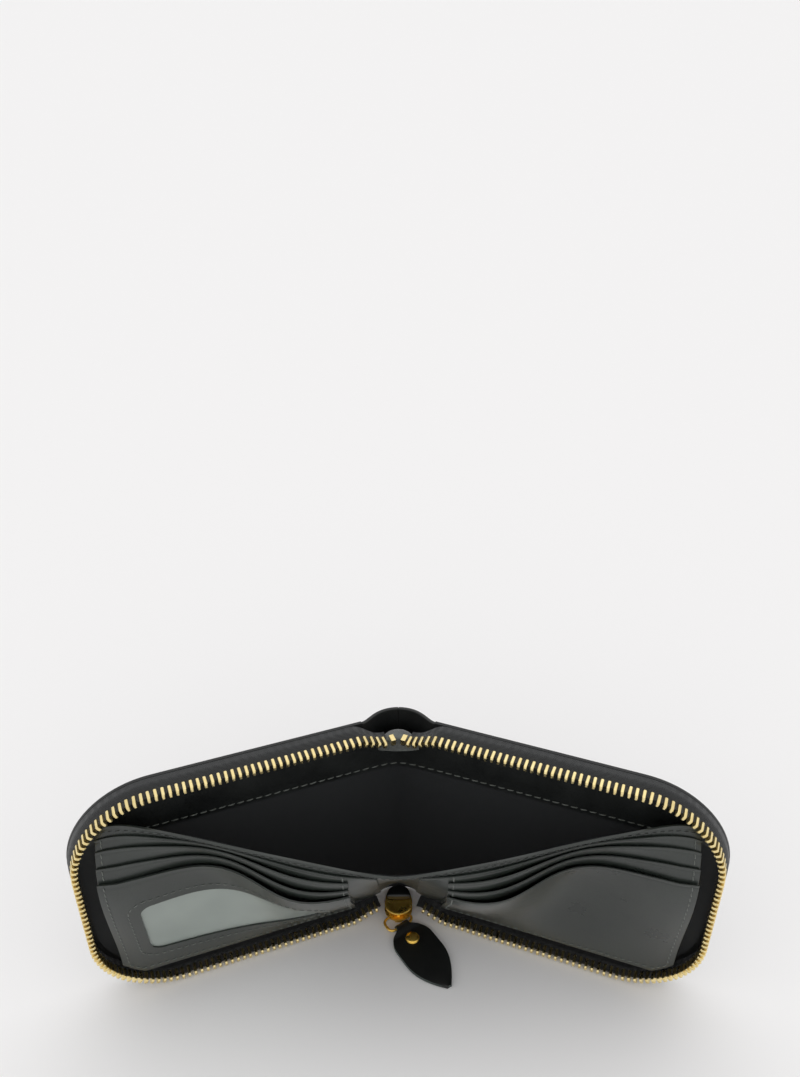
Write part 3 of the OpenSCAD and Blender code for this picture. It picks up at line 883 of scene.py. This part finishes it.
# ---- sub-assemblies -------------------------------------------------------
@dataclass
class SubAssembly:
    """Pieces that are dressed and fixed to a CAD body the same way."""

    finishes: Finishes
    made: list[str] = field(default_factory=list)

    def dress(self, obj: bpy.types.Object, material: bpy.types.Material, body: str,
              slot: str = "", nodes: Sequence[str] = ()) -> bpy.types.Object:
        """Gives a piece its finish and body, and hides the CAD nodes that it stands for.

        Args:
            obj: The piece.
            material: Its finish.
            body: The CAD body that it rides on, or empty for none.
            slot: Not used.
            nodes: CAD nodes that it replaces.

        Returns:
            The piece.
        """
        obj.data.materials.clear()
        obj.data.materials.append(material)
        if body:
            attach(obj, body)
        if nodes:
            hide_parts(*nodes)
        self.made.append(obj.name)
        return obj

    def keep(self, node: str, material: bpy.types.Material) -> None:
        """Gives a CAD node that stays as it is its finish."""
        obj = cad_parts[node]
        for k in range(len(obj.material_slots)):
            obj.material_slots[k].link = "OBJECT"
            obj.material_slots[k].material = material
        self.made.append(node)

    def report(self) -> None:
        """Logs each piece."""
        for name in self.made:
            log.info("%s: %s", type(self).__name__, name)


@dataclass
class Cover(SubAssembly):
    """One cover: leather, board, lining and the facing at the note compartment's mouth."""

    side: Side = Side.LEFT
    rows: int = 60
    columns: int = 44

    def outline_grid(self, near: float, inset: float, low: float = 0.0) -> tuple[Array, Array]:
        """Grid over the cover's outline: each row runs from the near edge to the corner arcs.

        Args:
            near: Where the rows start.
            inset: How far the outline is shrunk.
            low: Height where the rows start, for a band along the top.

        Returns:
            The u and z of each grid point.
        """
        r = P.corner_r - inset
        z0, z1 = max(inset, low), P.panel_h - inset
        a = (1 - np.cos(np.linspace(0, math.pi, self.rows))) / 2
        z = (z0 + (z1 - z0) * a)[:, None]
        over = np.maximum(np.maximum(inset + r - z, z - (P.panel_h - inset - r)), 0)
        far = P.panel_l - inset - r + np.sqrt(np.maximum(r * r - over * over, 0))
        s = np.linspace(0, 1, self.columns)[None]
        return near + (far - near) * s, z + 0 * s

    def leather(self) -> None:
        """Outer leather: a skin that is flat but for 0.05 mm of unevenness, with turned edges."""
        u, z = self.outline_grid(P.spine_gap, 0.0)
        uneven = 0.12 * np.sin(u / 13.0) * np.sin(z / 17.0) * 0.4
        points = place(self.side, u, P.half_t - P.leather_t / 2 - P.skin_gap + uneven, z)
        word = self.side.word
        self.dress(slab(f"cover_leather_{word}", points, P.leather_t - 0.05, 0.4),
                   self.finishes.cover, f"{word}_half", "cover_leather", [f"cover_{word}"])

    def inside(self) -> None:
        """Board and lining stay as drawn; the facing gets its leather and seam."""
        word = self.side.word
        self.keep(f"cover_board_{word}", self.finishes.board)
        self.keep(f"lining_{word}", self.finishes.lining)
        w = P.lining_face - P.skin_gap - P.lining_t / 2
        u, z = self.outline_grid(P.inner_near, 3.5, P.panel_h - P.facing_h)
        self.dress(slab(f"facing_leather_{word}", place(self.side, u, w, z), P.lining_t, 0.15),
                   self.finishes.edge, f"{word}_half", "cover_leather", [f"facing_{word}"])
        s = np.linspace(P.inner_near + 0.5, P.panel_l - 6, 120)
        seam = place(self.side, s, w - P.lining_t / 2, P.panel_h - P.facing_h + 1.6 + 0 * s)
        out = place(self.side, 0 * s, -1 + 0 * s, 0 * s) - place(self.side, 0 * s, 0 * s, 0 * s)
        self.dress(stitches(f"facing_seam_{word}", seam, out, 3.2, 2.5, 0.22, 6),
                   self.finishes.thread, f"{word}_half")

    def build(self) -> None:
        """Builds the cover's pieces."""
        self.leather()
        self.inside()
        self.report()


@dataclass
class ZipSide(SubAssembly):
    """One side of the zip: its tape, its row of teeth and its stop."""

    side: Side = Side.LEFT

    def tape(self) -> None:
        """Tape: the chain's path carried out towards the cover, rolled up flush with its edge."""
        d = np.linspace(-1.5, P.run_all, 420)[:, None]
        sewn = P.half_t - P.leather_t - 0.1
        free = P.lining_face - P.lining_t - 2 * P.skin_gap
        ends = ease((d - 3) / 9) * ease((P.run_all - 3 - d) / 9)
        s = np.linspace(0, 1, 22)[None]
        w = P.tape_edge + (free + (sewn - free) * ends - P.tape_edge) * s
        path, head = chain(d), chain_heading(d)
        bulge = (P.zip_inset - 0.35) * ease((w - 3.0) / 3.2) * ends
        out = np.stack([head[..., 1], -head[..., 0]], -1)
        spot = path + out * bulge[..., None]
        points = place(self.side, spot[..., 0] + 0 * w, w, spot[..., 1] + 0 * w)
        word = self.side.word
        self.dress(slab(f"tape_{word}", points, P.tape_t - 0.06), self.finishes.tape,
                   f"{word}_half", "zip_tape", [f"zip_tape_{word}"])

    def tooth(self) -> tuple[Array, list[Any]]:
        """One tooth: its outline in w and height, in four slices across its width.

        The outline has a narrower head and two legs that grip the tape; the outer slices shrink
        towards the outline's middle, which rounds the tooth's edges.

        Returns:
            Points [along, w, up] by slice and outline, and the faces.
        """
        tip, legs, half = -P.head_reach, P.tooth_l - P.head_reach, P.tooth_t / 2
        slot = P.tape_t / 2 + 0.05
        edge = P.tape_edge - 0.05
        outline = np.array([
            [tip, -half * 0.45], [tip + 0.35, -half * 0.95], [legs - 0.5, -half],
            [legs, -half * 0.6], [legs, -slot], [edge, -slot], [edge, slot], [legs, slot],
            [legs, half * 0.6], [legs - 0.5, half], [tip + 0.35, half * 0.95], [tip, half * 0.45]])
        middle = np.array([0.6, 0.0])
        at = np.array([-0.5, -0.32, 0.32, 0.5]) * P.tooth_w
        shrink = np.array([0.9, 1.0, 1.0, 0.9])
        ring = middle + (outline[None] - middle) * shrink[:, None, None]
        ring[:, 4:8] = outline[None, 4:8]
        points = np.concatenate([np.broadcast_to(at[:, None, None], (4, 12, 1)), ring], -1)
        faces: list[Any] = grid_faces(4, 12, close_m=True).tolist()
        for o in (0, 36):
            faces += [[o + k for k in (0, 1, 2, 3, 4, 5)], [o + k for k in (6, 7, 8, 9, 10, 11)],
                      [o + k for k in (0, 5, 6, 11)]]
        return points.reshape(-1, 3), faces

    def teeth(self) -> None:
        """The row: the tooth set at every pitch and turned to the chain's direction."""
        shape, faces = self.tooth()
        first = P.tooth_pitch / 2 if self.side is Side.RIGHT else 0.0
        count = int((P.run_all - 0.8 - first) / P.tooth_pitch) + 1
        d = 0.6 + first + np.arange(count) * P.tooth_pitch
        spot, head = chain(d), chain_heading(d)
        rng = np.random.default_rng(11 + self.side.value)
        tilt = rng.normal(0, 0.018, count)[:, None]
        along = shape[None, :, 0] + tilt * shape[None, :, 1]
        u = spot[:, None, 0] + along * head[:, None, 0] - shape[None, :, 2] * head[:, None, 1]
        z = spot[:, None, 1] + along * head[:, None, 1] + shape[None, :, 2] * head[:, None, 0]
        points = place(self.side, u, shape[None, :, 1] + 0 * u, z)
        size = len(shape)
        every = [[k * size + v for v in f] for k in range(count) for f in faces]
        word = self.side.word
        self.dress(make(f"teeth_{word}", points, every, smooth=25), self.finishes.teeth,
                   f"{word}_half", "zip_metal", [f"zip_teeth_{word}"])
        self.keep(f"top_stop_{word}", self.finishes.teeth)

    def build(self) -> None:
        """Builds the zip's pieces."""
        self.tape()
        self.teeth()
        self.report()


@dataclass
class CardPanels(SubAssembly):
    """One half of the divider, with its card slots, front pocket, window and seams."""

    side: Side = Side.LEFT
    columns: int = 90

    def soft(self, obj: bpy.types.Object) -> bpy.types.Object:
        """Gives a piece its own copy of its mesh."""
        axis = place(self.side, np.array(0.0), np.array(1.0), np.array(0.0)) - place(
            self.side, np.array(0.0), np.array(0.0), np.array(0.0))
        anchor = place(self.side, np.array(50.0), np.array(P.lining_face - 0.4), np.array(40.0)) * MM
        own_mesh(obj)
        return obj

    def heights(self, low: float, high: float, steps: int = 26) -> Array:
        """Heights from low to high, closer together at the creased top edge."""
        top = high - np.array([0.0, 0.5, 0.8, 1.1, 1.4, 1.7, 2.2])
        return np.unique(np.concatenate([np.linspace(low, high - 3, steps), top]))

    def layer(self, name: str, near: float, low: float, high: float, d: float, thick: float,
              gape: float, crease: float = 0.12) -> bpy.types.Object:
        """One leather layer, with a creased line pressed 1.1 mm below its edge.

        Args:
            name: Piece name.
            near: Half-width where it starts.
            low: Its low edge.
            high: Its high edge.
            d: Stand-off.
            thick: Thickness.
            gape: How far its mouth stands open.
            crease: Depth of the creased line.

        Returns:
            The layer.
        """
        x = np.linspace(near, P.card_far, self.columns)[None]
        z = self.heights(low, high)[:, None]
        pressed = crease * np.exp(-((high - z - 1.1) / 0.3) ** 2)
        return slab(name, panel(self.side, x, z, d - pressed + 0 * x, gape), thick, 0.14)

    def divider(self) -> None:
        """Divider leather and its lining, up to the fold."""
        word = self.side.word
        body = f"{word}_half"
        lined = self.layer(f"divider_leather_{word}", 0.0, P.panel_low, P.panel_top, 0.1,
                           P.divider_t - 0.2, 0)
        self.soft(self.dress(lined, self.finishes.panel, body, "panel_leather",
                             [f"divider_{word}"]))
        back = self.layer(f"divider_cloth_{word}", 0.0, P.panel_low, P.panel_top - 1.5,
                          -P.divider_t / 2 - 0.15, 0.3, 0, 0)
        self.soft(self.dress(back, self.finishes.lining, body, "lining_cloth",
                             [f"divider_lining_{word}"]))
        behind = self.layer(f"card_back_{word}", 7.0, P.panel_low, P.slot_high + 4, P.backing_d,
                            P.slot_t, 0)
        self.soft(self.dress(behind, self.finishes.panel, body, "panel_leather",
                             [f"card_backing_{word}"]))

    def slots(self) -> None:
        """The two upper slots, and the front pocket, which holds the window on the left."""
        word = self.side.word
        body = f"{word}_half"
        low = P.panel_low + 9
        for node, drop, share in (("slot_upper", 0, 0.25), ("slot_middle", 1, 0.55)):
            obj = self.layer(f"{node}_leather_{word}", P.seam_x, low,
                             P.slot_high - drop * P.slot_step, P.backing_d + (1 + drop) * P.slot_d,
                             P.slot_t, P.slot_gape * share)
            self.soft(self.dress(obj, self.finishes.panel, body, "panel_leather",
                                 [f"{node}_{word}"]))
        if self.side is Side.LEFT:
            self.windowed_pocket()
            return
        obj = self.layer(f"front_pocket_leather_{word}", P.seam_x, P.panel_low, P.front_high,
                         P.front_d, P.slot_t, P.slot_gape)
        self.soft(self.dress(obj, self.finishes.panel, body, "panel_leather",
                             [f"front_pocket_{word}"]))

    def windowed_pocket(self) -> None:
        """Front pocket with its window: rings run from the window's outline to the pocket's."""
        body = "left_half"
        inner = rounded_rect(*P.window_box, 4.0)
        outer = rounded_rect(P.seam_x, P.card_far, P.panel_low, P.front_high, 0.02)
        k = np.array([0, 0.02, 0.05, 0.1, 0.18, 0.3, 0.45, 0.6, 0.72, 0.8, 0.87, 0.93, 0.97, 1.0])
        flat = inner[None] + (outer - inner)[None] * k[:, None, None]
        pressed = 0.12 * np.exp(-((P.front_high - flat[..., 1] - 1.1) / 0.3) ** 2)
        points = panel(self.side, flat[..., 0], flat[..., 1], P.front_d - pressed, P.slot_gape)
        self.soft(self.dress(slab("front_pocket_leather_left", points, P.slot_t, 0.14, True),
                             self.finishes.panel, body, "panel_leather", ["front_pocket_left"]))
        near, far, low, high = P.window_box
        x = np.linspace(near - 5, far + 5, 60)[None]
        z = np.linspace(low - 5, high + 4, 36)[:, None]
        film = panel(self.side, x, z, P.front_d - P.slot_t / 2 - 0.2 + 0 * x, P.slot_gape)
        self.soft(self.dress(slab("window_film", film, 0.2), self.finishes.film, body,
                             "window_film", ["id_window"]))
        ring = rounded_rect(near - 3.6, far + 3.6, low - 3.6, high + 3.6, 6.0, 40, 10)
        self.seam("window_seam", ring[:, 0], ring[:, 1], P.front_d, P.slot_gape, True)

    def seam(self, name: str, x: Array, z: Array, d: float, gape: float, closed: bool = False,
             dark: bool = False, thick: Optional[float] = None) -> None:
        """A row of stitches on one layer's face.

        Args:
            name: Piece name.
            x: Half-widths along the seam.
            z: Heights along the seam.
            d: The layer's stand-off.
            gape: The layer's open mouth.
            closed: The seam joins its own start.
            dark: Sewn in the darker thread.
            thick: The layer's thickness, where it is not a slot's.
        """
        flat = resample(np.stack([x, z], -1), 400, closed)
        if closed:
            flat = np.concatenate([flat, flat[:1]])
        face = d + (P.slot_t if thick is None else thick) / 2
        at = [panel(self.side, flat[:, 0] + a, flat[:, 1] + b, face, gape)
              for a, b in ((0, 0), (0.2, 0), (0, 0.2))]
        normal = unit(np.cross(at[1] - at[0], at[2] - at[0]))
        normal *= -np.sign(normal[:, 1:2])
        thread = self.finishes.thread_dark if dark else self.finishes.thread
        self.soft(self.dress(stitches(name, at[0], normal, 2.6, 1.9, 0.17), thread,
                             f"{self.side.word}_half"))

    def seams(self) -> None:
        """Seams along the fore edge, beside the fold, along the foot and under the top edge."""
        word = self.side.word
        low = P.panel_low
        x = np.linspace(P.seam_x + 1.2, P.card_far - 2, 200)
        self.seam(f"foot_seam_{word}", x, 0 * x + low + 2.2, P.front_d, P.slot_gape)
        bands = (("front", low + 3, P.front_high - 0.6, P.front_d, P.slot_gape),
                 ("middle", P.front_high + 0.6, P.front_high + P.slot_step - 0.6,
                  P.backing_d + 2 * P.slot_d, P.slot_gape * 0.55),
                 ("upper", P.slot_high - P.slot_step + 0.6, P.slot_high - 0.6,
                  P.backing_d + P.slot_d, P.slot_gape * 0.25),
                 ("back", P.slot_high + 0.4, P.slot_high + 3.6, P.backing_d, 0.0))
        for band, z0, z1, d, gape in bands:
            z = np.linspace(z0, z1, 60)
            self.seam(f"edge_seam_{band}_{word}", 0 * z + P.card_far - 2.2, z, d, gape)
            self.seam(f"fold_seam_{band}_{word}", 0 * z + P.stitch_x + 0.2, z, d, gape)
        x = np.linspace(0.8, P.card_far - 1.5, 200)
        self.seam(f"divider_seam_{word}", x, 0 * x + P.panel_top - 1.8, 0.1, 0.0, dark=True,
                  thick=P.divider_t - 0.2)

    def build(self) -> None:
        """Builds the card panels' pieces."""
        self.divider()
        self.slots()
        self.seams()
        self.report()


@dataclass
class Spine(SubAssembly):
    """The spine: its leather, lining, end tabs and the metal box at the zip's foot."""

    rows: int = 60

    def arch(self, side: Side, low: float, high: float) -> Array:
        """One half of the spine leather's bulge, from the middle of the back to the cover's edge.

        The path is a cubic Hermite curve: it leaves the middle level and meets the cover along it.

        Args:
            side: Which half of the bulge.
            low: Its low edge.
            high: Its high edge.

        Returns:
            Grid of points, from the middle out.
        """
        t = np.linspace(0, 1, 26)[None]
        z = np.linspace(low, high, self.rows)[:, None]
        w = P.half_t - P.leather_t / 2
        end_x, end_y = P.spine_gap * P.cos + w * P.sin, w * P.cos - P.spine_gap * P.sin
        top = P.spine_reach - P.leather_t / 2
        go, come, stay = t * (1 - t) ** 2, t * t * (t - 1), t * t * (3 - 2 * t)
        leave, meet = 26, 10
        x = go * leave + come * meet * P.cos + stay * end_x
        y = (1 - stay) * top - come * meet * P.sin + stay * end_y
        soft = 0.2 * np.sin(z / 9.0) * np.sin(math.pi * t)
        return np.stack([side.value * x + 0 * z, P.hinge_y + y + soft, z + 0 * t], -1)

    def fold(self, side: Side, w: float, low: float, high: float) -> Array:
        """One half of the rounded V in which the lining crosses the fold.

        The depth is w over the cosine, less the tangent times the rounded distance from the fold.

        Args:
            side: Which half of the V.
            w: Distance out from the chain's plane, as on the covers.
            low: Its low edge.
            high: Its high edge.

        Returns:
            Grid of points, from the middle out.
        """
        end = P.inner_near * P.cos + P.lining_face * P.sin + 0.2
        x = np.linspace(0, end, 24)[None]
        z = np.linspace(low, high, self.rows)[:, None]
        near = np.sqrt(x * x + P.fold_r ** 2) - P.fold_r
        lost = end - (math.sqrt(end * end + P.fold_r ** 2) - P.fold_r)
        y = w / P.cos - P.sin / P.cos * (near + lost)
        return np.stack([side.value * x + 0 * z, P.hinge_y + y + 0 * z, z + 0 * x], -1)

    def skins(self) -> None:
        """Leather, lining and facing in two halves, each running from the middle of the spine to its
        cover.
        """
        top = P.panel_h - 8.6
        foot = P.panel_h - P.facing_h
        for side in Side:
            word = side.word
            leather = slab(f"spine_leather_{word}", self.arch(side, 0.3, P.panel_h - 0.3),
                           P.leather_t, 0.3)
            inner = P.lining_face + P.lining_t / 2
            cloth = slab(f"spine_cloth_{word}", self.fold(side, inner, 8.2, top), P.lining_t)
            facing = slab(f"spine_facing_{word}",
                          self.fold(side, inner - P.lining_t - P.skin_gap, foot, top), P.lining_t)
            nodes = ["spine_leather"] if side is Side.LEFT else []
            lined = ["spine_lining"] if side is Side.LEFT else []
            self.dress(leather, self.finishes.cover, "", "cover_leather", nodes)
            self.dress(cloth, self.finishes.lining, "", "lining_cloth", lined)
            self.dress(facing, self.finishes.edge, "", "cover_leather")
            row = self.fold(side, P.lining_face - P.skin_gap - P.lining_t, foot + 1.6, foot + 2)[0]
            out = np.stack([-0.02 * row[:, 0], 0 * row[:, 0] - 1, 0 * row[:, 0]], -1)
            sewn = stitches(f"spine_seam_{word}", row, unit(out), 3.2, 2.5, 0.22, 6)
            self.dress(sewn, self.finishes.thread, "")
            for obj in (leather, cloth, facing, sewn):
                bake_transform(obj)

    def end_tabs(self) -> None:
        """End tabs between the tapes, the top one in suede and the foot one in the tab's leather: a
        soft dome over a half-round outline.
        """
        for name, node, top, rise, half, back in (
                ("suede_tab_top", "zip_end_tab_top", P.panel_h - P.zip_inset - P.end_dip - 1.6,
                 3.6, 7.2, 8.4),
                ("suede_tab_foot", "zip_end_tab_bottom", P.slider_mid_z + 4.9, 0.8, 4.7, 5.2)):
            a = np.linspace(0, 2 * math.pi, 56, endpoint=False)
            x = half * np.cos(a)
            y = np.where(np.sin(a) > 0, back, 0.9) * np.sin(a)
            k = np.array([1.0, 1.0, 0.95, 0.85, 0.7, 0.5, 0.3, 0.12])[:, None]
            h = np.array([-1.6, -0.6, 0.0, 0.35, 0.65, 0.85, 0.96, 1.0])[:, None]
            z = top - 0.9 + np.where(h < 0, h, h * rise)
            points = np.stack([x * k, P.hinge_y + y * k + 0.6, z + 0 * x], -1)
            n = len(k)
            faces: list[Any] = grid_faces(n, 56, close_m=True).tolist()
            faces += [list(range(56)), list(range((n - 1) * 56, n * 56))]
            nap = self.finishes.suede if half > 6 else self.finishes.tab
            self.dress(make(name, points, faces, smooth=50), nap, "spine", "suede", [node])

    def build(self) -> None:
        """Builds the spine's pieces."""
        self.skins()
        self.end_tabs()
        self.keep("bottom_stop", self.finishes.gold)
        self.report()


@dataclass
class Slider(SubAssembly):
    """The zip's slider: two dished plates joined by a post, its strap and its spring."""

    width: float = 10.8
    length: float = 12.0
    plate: float = 0.9
    channel: float = 2.9

    def shield(self, count: int = 96) -> Array:
        """Outline of a plate: a round shoulder in front that narrows to a straight tail."""
        a = np.linspace(0, 2 * math.pi, count, endpoint=False)
        back, r = self.length * 0.42, self.width / 2
        front = self.length - back
        ahead = np.cos(a) > 0
        y = np.where(ahead, r - front - r * np.cos(a),
                     r - front - np.cos(a) * (back + front - r))
        x = np.sign(np.sin(a)) * np.where(ahead, r * np.abs(np.sin(a)),
                                          r * (0.72 + 0.28 * np.abs(np.sin(a)) ** 3))
        x = x * np.minimum(1, np.abs(np.sin(a)) / 0.22)
        return np.stack([x, y], -1)

    def plate_piece(self, name: str, foot: float, up: int, nodes: Sequence[str]) -> None:
        """One plate: rings of its outline, with a rounded rim and a dished middle.

        Args:
            name: Piece name.
            foot: Height of the face next to the channel.
            up: 1 where the plate's outer face looks up, -1 where it looks down.
            nodes: CAD nodes that it replaces.
        """
        outline = self.shield()
        middle = outline.mean(0)
        k = np.array([0.02, 0.97, 1.0, 1.0, 0.985, 0.95, 0.88, 0.84, 0.8, 0.4, 0.02])
        h = np.array([0.0, 0.0, 0.12, 0.75, 0.92, 1.0, 1.0, 0.82, 0.72, 0.7, 0.7]) * self.plate
        ring = middle + (outline[None] - middle) * k[:, None, None]
        z = foot + up * h[:, None] + 0 * ring[..., 0]
        points = np.stack([ring[..., 0], ring[..., 1] + P.hinge_y, z], -1)
        n, m = points.shape[:2]
        faces: list[Any] = grid_faces(n, m, close_m=True).tolist()
        faces += [list(range(m)), list(range((n - 1) * m, n * m))]
        self.dress(make(name, points, faces, smooth=35), self.finishes.gold, "slider",
                   "zip_metal", nodes)

    def build(self) -> None:
        """Builds the slider's pieces."""
        mid, half = P.slider_mid_z, self.channel / 2
        self.plate_piece("slider_plate_inner", mid + half, 1, ["slider_body"])
        self.plate_piece("slider_plate_outer", mid - half, -1, [])
        post = np.array([[0.75, -half - 0.1], [0.75, half + 0.1]])
        centre = np.array([0.0, P.hinge_y - self.length * 0.58 + 2.2, mid])
        self.dress(dome("slider_post", centre, post, 32), self.finishes.gold, "slider")
        self.keep("slider_bridge", self.finishes.gold)
        self.keep("slider_lock_spring", self.finishes.steel)
        self.report()


@dataclass
class Pull(SubAssembly):
    """The pull: a wire ring, a folded leather tab and the rivet that closes it."""

    turn: float = 34.0
    wire: float = 1.0
    ring_w: float = 10.6
    ring_l: float = 6.0
    corner: float = 2.2
    bridge_y: float = -1.6
    wire_z: float = 1.45
    tab_l: float = 31.0
    rivet_in: float = 6.8
    slip: float = 2.2
    tab_w: float = 16.5
    tab_t: float = 0.75
    rivet: float = 5.4

    def set_down(self, points: Array) -> Array:
        """Turns points from the pull's own frame to where it lies."""
        c, s = math.cos(math.radians(self.turn)), math.sin(math.radians(self.turn))
        across = points[..., 0] - self.slip
        x = across * c - points[..., 1] * s
        y = across * s + points[..., 1] * c
        return np.stack([x, y + P.hinge_y + self.bridge_y, points[..., 2] + self.wire_z], -1)

    def ring(self) -> None:
        """Wire ring: a rounded oblong carried round with the wire's circle."""
        flat = rounded_rect(-self.ring_w / 2, self.ring_w / 2, -self.ring_l, 0, self.corner, 10, 12)
        path = self.set_down(np.concatenate([flat, 0 * flat[:, :1]], -1))
        self.dress(tube("ring_wire", path, self.wire / 2), self.finishes.gold, "ring", "zip_metal",
                   ["pull_ring"])

    def half_width(self, y: Array) -> Array:
        """Half the tab's width, y before the wire: a neck, shoulders, a belly and a blunt tip."""
        at = np.array([0.0, 0.9, 1.6, 2.4, 3.4, 4.6, 6.0, 7.6, 11.0, 15.2])
        wide = np.array([0.34, 0.35, 0.5, 0.68, 0.79, 0.875, 0.95, 0.99, 1.0, 1.0])
        s = np.clip((y - 15.2) / (self.tab_l - 15.2), 0, 1)
        return self.tab_w / 2 * np.interp(y, at, wide) * (1 - 0.92 * s ** 1.9)

    def tab(self) -> None:
        """Tab: one strip from the tip over the wire and back, as wide as the leaf at each point."""
        fold = self.wire / 2 + 0.05 + self.tab_t / 2
        low, high = -fold, -fold + self.tab_t
        run = np.linspace(0, 1, 60) ** 0.85
        y_out = self.tab_l * run[::-1]
        a = np.linspace(-math.pi / 2, math.pi / 2 + 0.55, 16)[1:]
        lower = np.stack([y_out, 0 * y_out + low], -1)
        bend = np.stack([-fold * np.cos(a), fold * np.sin(a)], -1)
        over = np.linspace(1, 0, 60)[1:]
        y_back = self.tab_l * (1 - over)
        drop = high + (fold * 0.86 - high) * (1 - ease((y_back - 0.3) / 3.2))
        upper = np.stack([y_back + 0.4, drop], -1)
        upper = upper[upper[:, 0] > 0.9]
        upper[:, 0] = np.minimum(upper[:, 0], self.tab_l)
        line = np.concatenate([lower, bend, upper])
        s = np.linspace(-1, 1, 41)[None]
        reach = np.maximum(line[:, 0], 0)
        width = self.half_width(reach)[:, None]
        cup = 0.35 * (1 - s ** 2) * ease((reach[:, None] - 8) / 10)
        points = np.stack([s * width, -self.ring_l - line[:, :1] + 0 * s,
                           line[:, 1:] + 0 * s + cup], -1)
        obj = slab("tab_leather", self.set_down(points), self.tab_t - 0.02, 0.16)
        self.dress(obj, self.finishes.tab, "pull", "tab_leather", ["pull_tab"])
        obj.data.materials.append(self.finishes.painted)
        index = np.zeros(len(obj.data.polygons), np.int32)
        index[2 * (points.shape[0] - 1) * (points.shape[1] - 1):] = 1
        obj.data.polygons.foreach_set("material_index", index)

    def fastening(self) -> None:
        """Rivet: a domed cap with a rolled rim, and the washer below."""
        r, y = self.rivet / 2, -self.ring_l - self.rivet_in
        top = 2 * self.tab_t - self.wire / 2 - 0.05 - self.tab_t + 0.15
        a = np.linspace(0, math.pi / 2, 10)
        crown = np.stack([(r - 0.15) * np.cos(a), 0.45 + 0.85 * np.sin(a)], -1)
        crown[-1, 0] = 0.05
        profile = np.concatenate([[[r - 0.25, 0.0], [r, 0.15], [r, 0.35]], crown])
        spot = self.set_down(np.array([0.0, y, top]))
        self.dress(dome("rivet_dome", spot, profile), self.finishes.gold, "pull", "zip_metal",
                   ["rivet_cap"])
        self.keep("rivet_base", self.finishes.gold)

    def build(self) -> None:
        """Builds the pull's pieces."""
        self.ring()
        self.tab()
        self.fastening()
        self.report()


# ---- studio ---------------------------------------------------------------
@dataclass
class Studio:
    """Pale floor, white surroundings, one wide soft light and the camera."""

    paper: str = "#f3f2f2"
    eye: tuple[float, float, float] = (0.6, -258.0, 344.0)
    pitch: float = 33.0
    lens: float = 34.0
    sky: float = 0.913

    def floor(self) -> None:
        """A wide plane just under the wallet, in matt paper."""
        mesh = bpy.data.meshes.new("floor")
        s = 30.0
        z = -0.3 * MM
        mesh.from_pydata([(-s, -s, z), (s, -s, z), (s, s * 3, z), (-s, s * 3, z)], [],
                         [(0, 1, 2, 3)])
        obj = bpy.data.objects.new("floor", mesh)
        bpy.context.scene.collection.objects.link(obj)
        material, _, _ = start("matt paper sweep", Base_Color=linear(self.paper), Roughness=0.9)
        material.node_tree.nodes["Principled BSDF"].inputs["Specular IOR Level"].default_value = 0.1
        mesh.materials.append(material)

    def sun(self, way: tuple[float, float, float], strength: float, angle: float) -> None:
        """A wide soft light from one side of the studio's ceiling.

        Args:
            way: Direction in which its light travels.
            strength: Its strength.
            angle: Width of the light, in degrees.
        """
        data = bpy.data.lights.new("ceiling", "SUN")
        data.energy, data.angle = strength, math.radians(angle)
        obj = bpy.data.objects.new("ceiling", data)
        yaw = math.atan2(way[1], way[0]) - math.pi / 2
        obj.rotation_euler = (math.atan2(math.hypot(way[0], way[1]), -way[2]), 0, yaw)
        bpy.context.scene.collection.objects.link(obj)

    def build(self) -> None:
        """Builds the studio."""
        scene = bpy.context.scene
        self.floor()
        world = bpy.data.worlds.new("studio")
        world.use_nodes = True
        sky = world.node_tree.nodes["Background"]
        sky.inputs[0].default_value = (1, 1, 1, 1)
        sky.inputs[1].default_value = self.sky
        scene.world = world
        self.sun((-0.1, -0.35, -1.0), 0.3, 50.0)
        camera = bpy.data.cameras.new("camera")
        camera.lens, camera.sensor_width = self.lens, 36.0
        obj = bpy.data.objects.new("camera", camera)
        x, y, z = self.eye
        obj.location = (x * MM, (y + P.hinge_y) * MM, z * MM)
        obj.rotation_euler = (math.radians(90 - self.pitch), 0, 0)
        scene.collection.objects.link(obj)
        scene.camera = obj
        scene.view_settings.view_transform = "Standard"


def main() -> None:
    """Builds each sub-assembly in turn, then the studio."""
    logging.basicConfig(level=logging.INFO, format="%(message)s")
    finishes = Finishes()
    for side in Side:
        Cover(finishes, side=side).build()
        ZipSide(finishes, side=side).build()
        CardPanels(finishes, side=side).build()
    Spine(finishes).build()
    Slider(finishes).build()
    Pull(finishes).build()
    Studio().build()


if __name__ == "__main__":
    main()
